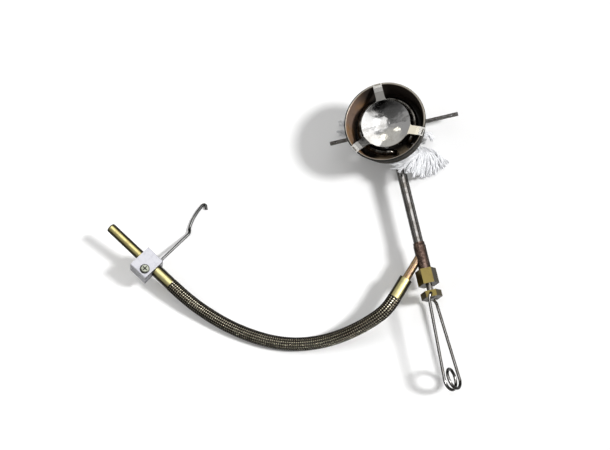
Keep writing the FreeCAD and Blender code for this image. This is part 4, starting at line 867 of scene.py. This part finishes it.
# %% [markdown]
# Between the wires the hose's own wall shows, black and dull. It is a plain tube, which also stops
# light from coming through the weave. A tree for it is hardly longer than a curve with a bevel, and
# it ends with smooth faces and its material in the same way as the braid.

# %% Wall of the hose
HOSE_WALL_RADIUS = 3.5 * MM
HOSE_WALL_SIDES = 24


def tube_tree():
    """A plain tube along an object's line."""
    tree, entry, leave = new_tree("plain_tube", "GeometryNodeTree", (
        ("Geometry", "NodeSocketGeometry", None),
        ("Radius", "NodeSocketFloat", HOSE_WALL_RADIUS),
        ("Sides", "NodeSocketInt", HOSE_WALL_SIDES),
        ("Material", "NodeSocketMaterial", None),
    ), (("Geometry", "NodeSocketGeometry"),))
    into = entry.outputs
    line = add(tree, "GeometryNodeMeshToCurve", {"Mesh": into["Geometry"]})
    ring = add(tree, "GeometryNodeCurvePrimitiveCircle",
               {"Resolution": into["Sides"], "Radius": into["Radius"]})
    feed(tree, leave.inputs[0], swept(tree, line.outputs[0], ring.outputs[0], into["Material"]))
    return tree


wall_black = dull_black("hose_wall_black", 0.012, 0.6)
print("wall: %.1f mm across" % (2 * HOSE_WALL_RADIUS / MM))

# %% [markdown]
# A strand is painted near black where it goes down under its neighbours, a painted shade. The
# tree stores the wave that lifts a strand as an attribute, crest, and the finish mixes that shade
# and the metal by it. The bundles of one direction are painted bright, as lit, and those of the
# other brown, as in shade, which leaves the bright ones as rows of beads.

# %% Wire of the braid
def braided_steel(name, clean, stained, crest_starts, crest_full):
    """Wire with painted shade where it goes under. With a negative rise it rides high where crest is low."""
    finish = Finish(name)
    mask = finish.stains(160.0, 0.45, 0.7)
    # Painted shade: near black where the wave takes the wire under its neighbours.
    riding_high = ramp(finish.tree, finish.attribute("crest"), crest_starts, crest_full, smooth=True)
    wire = finish.mix(riding_high, (0.022, 0.018, 0.014), finish.mix(mask, clean, stained))
    finish.colour(finish.shaded_at_sides(wire, (0.008, 0.0065, 0.005), 0.10, 0.36))
    finish.roughness(finish.between(mask, 0.26, 0.34))
    finish.relief((finish.stains(2500.0, 0.3, 0.7), 0.003))
    return finish


# Painted light: one wire in two copies, painted as lit for one direction and as shaded for the other.
painted_lit_wire = braided_steel("braid_painted_lit_wire", (0.82, 0.775, 0.61), (0.62, 0.57, 0.43), 0.0, 0.95)
painted_shaded_wire = braided_steel("braid_painted_shaded_wire", (0.065, 0.052, 0.036), (0.042, 0.034, 0.025), 0.9, -0.2)
print("wires:", painted_lit_wire.material.name, "and", painted_shaded_wire.material.name)

# %% [markdown]
# Now the hose is woven and handed over.

# %% Weave the hose
BRAID_WAYS = (("hose_braid_right_hand", 1, painted_lit_wire), ("hose_braid_left_hand", -1, painted_shaded_wire))
braid_one_way = braid_tree()
line_object = placed("hose_line", hose_line)
braids = [
    grow(name, line_object, braid_one_way, carriers=BRAID_CARRIERS, radius=BRAID_MIDDLE,
         pitch=way * BRAID_PITCH, rise=way * BRAID_RISE, bead_spacing=BEAD_SPACING,
         sample_length=SAMPLE_LENGTH, section=three_wires, material=wire.material)
    for name, way, wire in BRAID_WAYS
]
hose_wall = grow("hose_wall", line_object, tube_tree(), radius=HOSE_WALL_RADIUS, sides=HOSE_WALL_SIDES,
                 material=wall_black.material)
for helper in (line_object, three_wires):
    bpy.data.objects.remove(helper)

for piece in (*braids, hose_wall):
    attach(piece, "root")
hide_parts("hose_braid")
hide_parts("hose_liner")

# %% [markdown]
# The priming wick is loose cotton yarn. It is wound round the foot of the block in the cup, comes
# up beside the neck as one thick bundle, and spreads from there. Each lock is a short curve drawn
# one by one. The first eight fan out over the table at the right, the next nine go over the neck or
# hang beside it, and the last comes out beside the bell. Two thin wisps stick out at the far left.

# %% Locks of the wick
WICK_LOCKS = (
    ((6.0, -8.6, 6.6), (10.4, -13.6, 12.6), (13.2, -18.6, 14.4), (12.4, -24.6, 10.8), (8.6, -30.4, 8.2)),
    ((6.0, -8.6, 6.6), (11.4, -13.2, 12.0), (14.6, -18.0, 12.6), (13.6, -24.4, 8.8), (10.4, -30.8, 5.4)),
    ((6.6, -8.2, 6.4), (12.0, -13.4, 10.8), (14.4, -18.4, 11.2), (15.6, -25.0, 7.0), (12.8, -30.8, 3.6)),
    ((6.6, -8.2, 6.4), (11.6, -13.8, 11.4), (15.4, -18.0, 11.8), (17.2, -24.6, 6.2), (15.2, -31.0, 2.4)),
    ((7.0, -8.0, 6.4), (12.4, -13.2, 11.2), (16.2, -17.8, 11.4), (19.4, -24.0, 6.6), (18.4, -30.6, 2.4)),
    ((7.0, -8.0, 6.4), (12.8, -12.8, 10.6), (17.0, -17.6, 10.2), (21.4, -23.4, 5.6), (21.2, -29.6, 2.3)),
    ((7.4, -7.8, 6.4), (13.2, -12.8, 10.2), (18.0, -17.6, 9.4), (23.0, -22.6, 5.0), (24.2, -28.4, 2.3)),
    ((7.4, -7.8, 6.4), (13.8, -12.6, 11.0), (19.4, -17.2, 9.6), (25.0, -19.6, 5.2), (26.8, -26.6, 2.3)),
    ((5.6, -8.8, 6.8), (10.6, -14.2, 14.0), (11.4, -19.4, 17.6), (7.6, -24.6, 20.4), (4.6, -31.8, 19.6)),
    ((5.6, -8.8, 6.8), (10.2, -14.4, 13.6), (12.2, -19.4, 16.0), (10.4, -25.2, 15.8), (6.8, -31.8, 13.0)),
    ((5.6, -8.8, 6.8), (10.8, -14.0, 13.2), (12.8, -19.2, 15.0), (11.4, -25.0, 13.0), (7.4, -31.0, 10.0)),
    ((5.4, -8.9, 6.8), (10.0, -14.4, 14.0), (11.0, -19.2, 18.4), (6.4, -25.4, 22.8), (2.0, -31.4, 21.6)),
    ((5.4, -8.9, 6.8), (10.0, -14.4, 13.8), (11.2, -19.4, 17.8), (8.2, -25.6, 21.0), (6.2, -32.2, 17.4)),
    ((5.2, -9.0, 6.8), (9.8, -14.6, 14.0), (10.2, -19.8, 19.0), (4.4, -24.2, 22.9), (-2.2, -27.8, 21.2)),
    ((5.2, -9.0, 6.8), (9.6, -14.8, 14.2), (9.6, -20.0, 19.8), (3.6, -22.6, 23.0), (-5.0, -21.4, 20.0)),
    ((5.2, -9.0, 6.8), (9.8, -14.6, 14.0), (9.8, -20.2, 19.4), (2.8, -24.0, 23.0), (-4.8, -25.0, 19.6)),
    ((5.2, -9.0, 6.8), (9.4, -14.8, 14.4), (9.2, -20.2, 20.0), (4.8, -21.8, 22.2), (0.8, -20.9, 21.5)),
    ((9.6, -2.6, 6.6), (14.8, -4.0, 9.4), (19.6, -4.6, 10.6), (22.2, -5.8, 7.4), (22.6, -8.6, 4.6)),
)
WICK_WISPS = (
    ((-9.0, 4.0, 6.6), (-15.0, 8.0, 9.0), (-22.0, 13.0, 8.0), (-28.6, 18.0, 6.0), (-33.6, 22.4, 2.4)),
    ((-9.4, 3.2, 6.6), (-16.0, 6.6, 8.6), (-23.0, 11.0, 6.0), (-30.0, 14.8, 3.0), (-36.4, 15.6, 2.2)),
)
lock_curves = smooth_curve("wick_locks", WICK_LOCKS)
wisp_curves = smooth_curve("wick_wisp_lines", WICK_WISPS)
print("locks: %d, wisps: %d" % (len(WICK_LOCKS), len(WICK_WISPS)))

# %% [markdown]
# In the cup the yarn goes round and round the block's foot. Nobody lays it evenly, so its radius
# swings in and out as it climbs. The swing, an angle in radians for each turn, never fits a whole
# number of turns, so that no turn lies just on the one below.

# %% Coil in the cup
CUP_COIL_TURNS = 9
CUP_COIL_INNER = 6.0
CUP_COIL_OUTER = 10.4
CUP_COIL_LOW = 2.1
CUP_COIL_RISE = 0.52
SWING_PER_TURN = 2.3
COIL_POINTS_PER_TURN = 16


def cup_coil():
    """Yarn laid round the block's foot, in and out as it climbs."""
    points = []
    for step in range(CUP_COIL_TURNS * COIL_POINTS_PER_TURN + 1):
        turns = step / COIL_POINTS_PER_TURN
        swing = 0.5 - 0.5 * math.cos(turns * SWING_PER_TURN)
        radius = CUP_COIL_INNER + (CUP_COIL_OUTER - CUP_COIL_INNER) * swing
        angle = TURN * turns
        height = CUP_COIL_LOW + CUP_COIL_RISE * turns
        points.append((radius * math.cos(angle), radius * math.sin(angle), height))
    return points


coil_curve = smooth_curve("wick_coil_line", [cup_coil()], steps=4)
print("coil: %d turns, %.1f mm high" % (CUP_COIL_TURNS, CUP_COIL_TURNS * CUP_COIL_RISE))

# %% [markdown]
# A lock is a few yarns that run side by side, and a yarn is a few plies twisted together. Hair
# could draw that, but a mesh is needed, so one tree makes both steps with the winding group: it
# lays yarns round each line, lets every yarn wander its own way and end where it likes, keeps it
# off the table, and then twists plies round it. A fixed seed gives the same wick each time.

# %% Yarn tree
YARN_PITCH = 30 * MM
WANDER_GRAIN = 115.0
WANDER_GROWTH = 0.7
WANDER_GAIN = 4.0
APART_BY_CHANCE = (31.0, 17.0, 53.0)
PLY_SIDES = 8
TAPER_STARTS = 0.85
TAPER_END = 0.55


def wandering(tree, yarns, into):
    """Yarns pushed about, each in its own way and more towards its end, but kept off the table."""
    chance = add(tree, "FunctionNodeRandomValue", data_type="FLOAT")
    feed(tree, chance.inputs["Seed"], into["Seed"])
    own = add(tree, "GeometryNodeCaptureAttribute", {"Geometry": yarns}, domain="CURVE")
    own.capture_items.new("FLOAT", "Chance")
    feed(tree, own.inputs["Chance"], chance.outputs[1])
    spline = tree.nodes.new("GeometryNodeSplineParameter")
    shift = vectors(tree, "SCALE", APART_BY_CHANCE, scale=own.outputs["Chance"])
    here = tree.nodes.new("GeometryNodeInputPosition").outputs[0]
    spot = vectors(tree, "ADD", vectors(tree, "SCALE", here, scale=WANDER_GRAIN), shift)
    noise = add(tree, "ShaderNodeTexNoise", {"Vector": spot, "Scale": 1.0, "Detail": 1.0})
    growth = sums(tree, "POWER", spline.outputs["Factor"], WANDER_GROWTH)
    reach = sums(tree, "MULTIPLY", growth, into["Wander"])
    push = vectors(tree, "SCALE", vectors(tree, "SUBTRACT", noise.outputs["Color"], (0.5, 0.5, 0.5)),
                   scale=sums(tree, "MULTIPLY", reach, WANDER_GAIN))
    there = add(tree, "ShaderNodeSeparateXYZ", {"Vector": vectors(tree, "ADD", here, push)})
    lifted = add(tree, "ShaderNodeCombineXYZ", {
        "X": there.outputs["X"], "Y": there.outputs["Y"],
        "Z": sums(tree, "MAXIMUM", there.outputs["Z"], into["Ground"])})
    moved = add(tree, "GeometryNodeSetPosition",
                {"Geometry": own.outputs["Geometry"], "Position": lifted.outputs[0]})
    return moved.outputs[0], own.outputs["Chance"]


def yarn_tree():
    """Yarns along curves, each of a few twisted plies, thinner towards the end."""
    tree, entry, leave = new_tree("cotton_yarns", "GeometryNodeTree", (
        ("Geometry", "NodeSocketGeometry", None),
        ("Yarns", "NodeSocketInt", 2),
        ("Spread", "NodeSocketFloat", 0.9 * MM),
        ("Plies", "NodeSocketInt", 3),
        ("Ply Radius", "NodeSocketFloat", 0.6 * MM),
        ("Twist Length", "NodeSocketFloat", 13 * MM),
        ("Wander", "NodeSocketFloat", 1.0 * MM),
        ("Shortest", "NodeSocketFloat", 0.9),
        ("Ground", "NodeSocketFloat", 1.0 * MM),
        ("Sample Length", "NodeSocketFloat", 0.5 * MM),
        ("Seed", "NodeSocketInt", 3),
        ("Material", "NodeSocketMaterial", None),
    ), (("Geometry", "NodeSocketGeometry"),))
    into = entry.outputs
    even = add(tree, "GeometryNodeResampleCurve",
               {"Curve": into["Geometry"], "Length": into["Sample Length"]}, mode="LENGTH")
    yarns = helical_copies(tree, even.outputs[0], copies=into["Yarns"], radius=into["Spread"],
                           pitch=YARN_PITCH)
    moved, chance = wandering(tree, yarns, into)
    cut = add(tree, "GeometryNodeTrimCurve", {"Curve": moved}, mode="FACTOR")
    feed(tree, cut.inputs["End"], ramp(tree, chance, 0.0, 1.0, into["Shortest"], 1.0))
    again = add(tree, "GeometryNodeResampleCurve",
                {"Curve": cut.outputs[0], "Length": into["Sample Length"]}, mode="LENGTH")
    plies = helical_copies(tree, again.outputs[0], copies=into["Plies"], radius=into["Ply Radius"],
                           pitch=into["Twist Length"])
    ring = add(tree, "GeometryNodeCurvePrimitiveCircle",
               {"Resolution": PLY_SIDES, "Radius": into["Ply Radius"]})
    along_ply = tree.nodes.new("GeometryNodeSplineParameter").outputs["Factor"]
    taper = ramp(tree, along_ply, TAPER_STARTS, 1.0, 1.0, TAPER_END)
    feed(tree, leave.inputs[0], swept(tree, plies, ring.outputs[0], into["Material"], taper))
    return tree


# %% [markdown]
# Cotton is dull and slightly fuzzy, so the finish has high roughness, a little sheen at the sides
# and very fine relief. New yarn is a cool white, and handling has greyed a few large patches.

# %% Cotton
def cotton():
    finish = Finish("wick_white_cotton", metallic=0.0)
    mask = finish.stains(500.0, 0.35, 0.65)
    smudge = finish.stains(90.0, 0.52, 0.75)
    white = finish.mix(mask, (0.78, 0.785, 0.80), (0.69, 0.695, 0.715))
    finish.colour(finish.mix(smudge, white, (0.52, 0.52, 0.54)))
    finish.roughness(finish.between(mask, 0.85, 0.95))
    finish.surface.inputs["Sheen Weight"].default_value = 0.3
    finish.relief((finish.marks((4000.0, 4000.0, 4000.0)), 0.03))
    return finish


wick_cotton = cotton()
print("cotton:", wick_cotton.material.name)

# %% [markdown]
# Four runs of the tree make the wick. The loose ends are two thick, slowly twisted yarns to a lock,
# with three plies each. The wisps are thinner, and the coil is one tighter yarn that hardly
# wanders. Last come single stray fibres round the locks, which make the outline soft. What a run
# doesn't say for itself it takes from the plain yarn.

# %% Spin the wick
PLAIN_YARN = dict(plies=3, ply_radius=0.58 * MM, twist_length=13 * MM, sample_length=0.5 * MM)
yarn_maker = yarn_tree()


def spin(name, lines, **own):
    """Yarns of wick cotton along curves, as the plain yarn but for the values given."""
    return grow(name, lines, yarn_maker, material=wick_cotton.material, **{**PLAIN_YARN, **own})


wick_ends = spin("wick_loose_ends", lock_curves, yarns=2, spread=0.9 * MM, ply_radius=0.64 * MM,
                 twist_length=26 * MM, wander=0.9 * MM, shortest=0.9, ground=1.1 * MM, seed=5)
wick_wisps = spin("wick_wisps", wisp_curves, yarns=2, spread=0.8 * MM, ply_radius=0.5 * MM,
                  wander=1.0 * MM, shortest=0.92, ground=0.9 * MM, seed=4)
wick_coil = spin("wick_coil_in_cup", coil_curve, yarns=1, spread=0.1 * MM, wander=0.15 * MM,
                 shortest=1.0, ground=1.7 * MM, sample_length=0.7 * MM, seed=2)
wick_fibres = spin("wick_stray_fibres", lock_curves, yarns=6, spread=1.2 * MM, plies=1,
                   ply_radius=0.06 * MM, twist_length=9 * MM, wander=2.6 * MM, shortest=0.7,
                   ground=0.3 * MM, sample_length=0.8 * MM, seed=8)
for helper in (lock_curves, wisp_curves, coil_curve):
    bpy.data.objects.remove(helper)
for piece in (wick_ends, wick_wisps, wick_coil, wick_fibres):
    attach(piece, "root")
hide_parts("priming_wick")

# %% [markdown]
# The table is a wide white plane, painted and dull, so that it takes shadows but no reflections.
# Its paint has the faintest patches, because a perfectly even white looks like no surface at all.

# %% Table
TABLE_HALF = 4000 * MM


def make_floor():
    """The table top, which stays out of the part."""
    mesh = bpy.data.meshes.new("table_top")
    corners = [(x * TABLE_HALF, y * TABLE_HALF, 0) for x, y in ((-1, -1), (1, -1), (1, 1), (-1, 1))]
    mesh.from_pydata(corners, [], [(0, 1, 2, 3)])
    floor = placed("table_top", mesh)
    finish = Finish("table_white_paint", metallic=0.0)
    finish.colour(finish.mix(finish.stains(2.0, 0.3, 0.7), (0.93, 0.93, 0.93), (0.96, 0.96, 0.96)))
    finish.surface.inputs["Roughness"].default_value = 0.7
    finish.surface.inputs["Specular IOR Level"].default_value = 0.1
    mesh.materials.append(finish.material)


make_floor()
print("table: %.0f m wide" % (2 * TABLE_HALF))

# %% [markdown]
# A low lamp from the right gives the thin shadow of the wire handle and the broad one of the bell.
# A sun lamp does for it, because all its light comes from one way, and its angle sets how soft the
# shadows' edges are. A weak wide lamp over the far end of the hose lifts the shadows there, and
# is hidden from reflections, so that no metal mirrors it.

# %% Lamps
TOWARDS_LIGHT = Vector((0.722, -0.217, 0.657)).normalized()
SUN_STRENGTH = 3.1
SUN_ANGLE = math.radians(9)
FILL_PLACE = Vector((-400.0, 50.0, 330.0)) * MM
FILL_SIZE = 300 * MM
FILL_POWER = 0.6


def make_sun():
    data = bpy.data.lights.new("low_sun", "SUN")
    data.energy = SUN_STRENGTH
    data.angle = SUN_ANGLE
    sun = placed("low_sun", data)
    sun.rotation_mode = "QUATERNION"
    sun.rotation_quaternion = TOWARDS_LIGHT.to_track_quat("Z", "Y")


def make_fill():
    data = bpy.data.lights.new("soft_fill", "AREA")
    data.energy = FILL_POWER
    data.size = FILL_SIZE
    fill = placed("soft_fill", data)
    fill.location = FILL_PLACE
    fill.visible_glossy = False


make_sun()
make_fill()
print("sun %.0f degrees above the table" % math.degrees(math.asin(TOWARDS_LIGHT.z)))

# %% [markdown]
# Polished pieces show the room itself. A photograph of a room could be wrapped round the scene, but
# lights placed one by one can be put just where the plate and the bell mirror them. So the room is
# dim and a little brighter above, with soft round lights of several sizes, dark spots where the
# camera and whoever holds it keep the light away, and one thin bar across the brightest window.

# %% Room that the metal mirrors
SKY_LOW = 0.05
SKY_HIGH = 0.24
SKY_FULL_HEIGHT = 0.8
DAYLIGHT = (1.0, 1.0, 1.0)
# Each soft light: direction, cosines where it begins and is full, strength and tint. X is right in
# the photograph, Y is far and Z is up.
SOFT_LIGHTS = (
    # A wide window high at the far right, and three smaller ones that the plate mirrors
    (Vector((0.42, 0.33, 0.84)), 0.914, 0.985, 1.5, DAYLIGHT),
    (Vector((0.065, 0.31, 0.949)), 0.9888, 0.9940, 0.9, DAYLIGHT),
    (Vector((-0.065, 0.345, 0.932)), 0.9966, 0.9984, 1.0, DAYLIGHT),
    (Vector((0.03, 0.50, 0.865)), 0.9957, 0.9978, 1.0, (1.0, 0.99, 0.96)),
    # Two small warm lamps, the glow round them and a faint wide one
    (Vector((-0.072, 0.48, 0.874)), 0.99955, 0.99985, 1.5, (1.0, 0.97, 0.84)),
    (Vector((-0.20, 0.45, 0.870)), 0.99960, 0.99987, 1.2, (1.0, 0.97, 0.84)),
    (Vector((-0.13, 0.50, 0.855)), 0.9930, 0.9980, 0.16, (1.0, 0.96, 0.80)),
    (Vector((-0.22, 0.46, 0.86)), 0.940, 0.985, 0.09, DAYLIGHT),
    # A warm window low at the far left
    (Vector((-0.65, 0.58, 0.49)), 0.961, 0.990, 1.1, (1.0, 0.95, 0.80)),
    # A wide light overhead, and a faint one on the near side
    (Vector((0.16, -0.06, 0.985)), 0.951, 0.985, 1.0, DAYLIGHT),
    (Vector((0.03, -0.40, 0.92)), 0.960, 0.995, 0.2, DAYLIGHT),
)
# Each dark spot: direction, cosines where it begins and is full, and how much it takes away.
DARK_SPOTS = (
    (Vector((-0.17, 0.19, 0.967)), 0.9760, 0.9895, 1.0),
    (Vector((0.39, 0.71, 0.59)), 0.930, 0.980, 0.9),
)
# The thin bar: its normal, sines of its core and its edge, and the share of light that it lets by.
WINDOW_BAR = (Vector((0.049, 0.926, -0.375)), 0.004, 0.014, 0.45)


def make_sky():
    """The world's colour: ceiling less the dark spots, and the soft lights behind the thin bar."""
    world = bpy.data.worlds.new("pale_room")
    world.use_nodes = True
    bpy.context.scene.world = world
    tree = world.node_tree
    where = tree.nodes.new("ShaderNodeTexCoord").outputs["Generated"]

    def lobe(direction, begins, full, strength):
        facing = vectors(tree, "DOT_PRODUCT", where, tuple(direction.normalized()))
        return ramp(tree, facing, begins, full, 0.0, strength, smooth=True)

    height = add(tree, "ShaderNodeSeparateXYZ", {"Vector": where}).outputs["Z"]
    ceiling = ramp(tree, height, 0.0, SKY_FULL_HEIGHT, SKY_LOW, SKY_HIGH)
    for spot in DARK_SPOTS:
        ceiling = sums(tree, "MULTIPLY", ceiling, opposite(tree, lobe(*spot)))
    total = vectors(tree, "SCALE", DAYLIGHT, scale=ceiling)
    for direction, begins, full, strength, tint in SOFT_LIGHTS:
        glow = vectors(tree, "SCALE", tint, scale=lobe(direction, begins, full, strength))
        total = vectors(tree, "ADD", total, glow)
    normal, core, edge, let_by = WINDOW_BAR
    away = sums(tree, "ABSOLUTE", vectors(tree, "DOT_PRODUCT", where, tuple(normal.normalized())))
    bar = ramp(tree, away, core, edge, let_by, 1.0, smooth=True)
    feed(tree, tree.nodes["Background"].inputs["Color"], vectors(tree, "SCALE", total, scale=bar))


make_sky()
bpy.context.scene.view_settings.view_transform = "Standard"
print("room: %d soft lights and %d dark spots" % (len(SOFT_LIGHTS), len(DARK_SPOTS)))
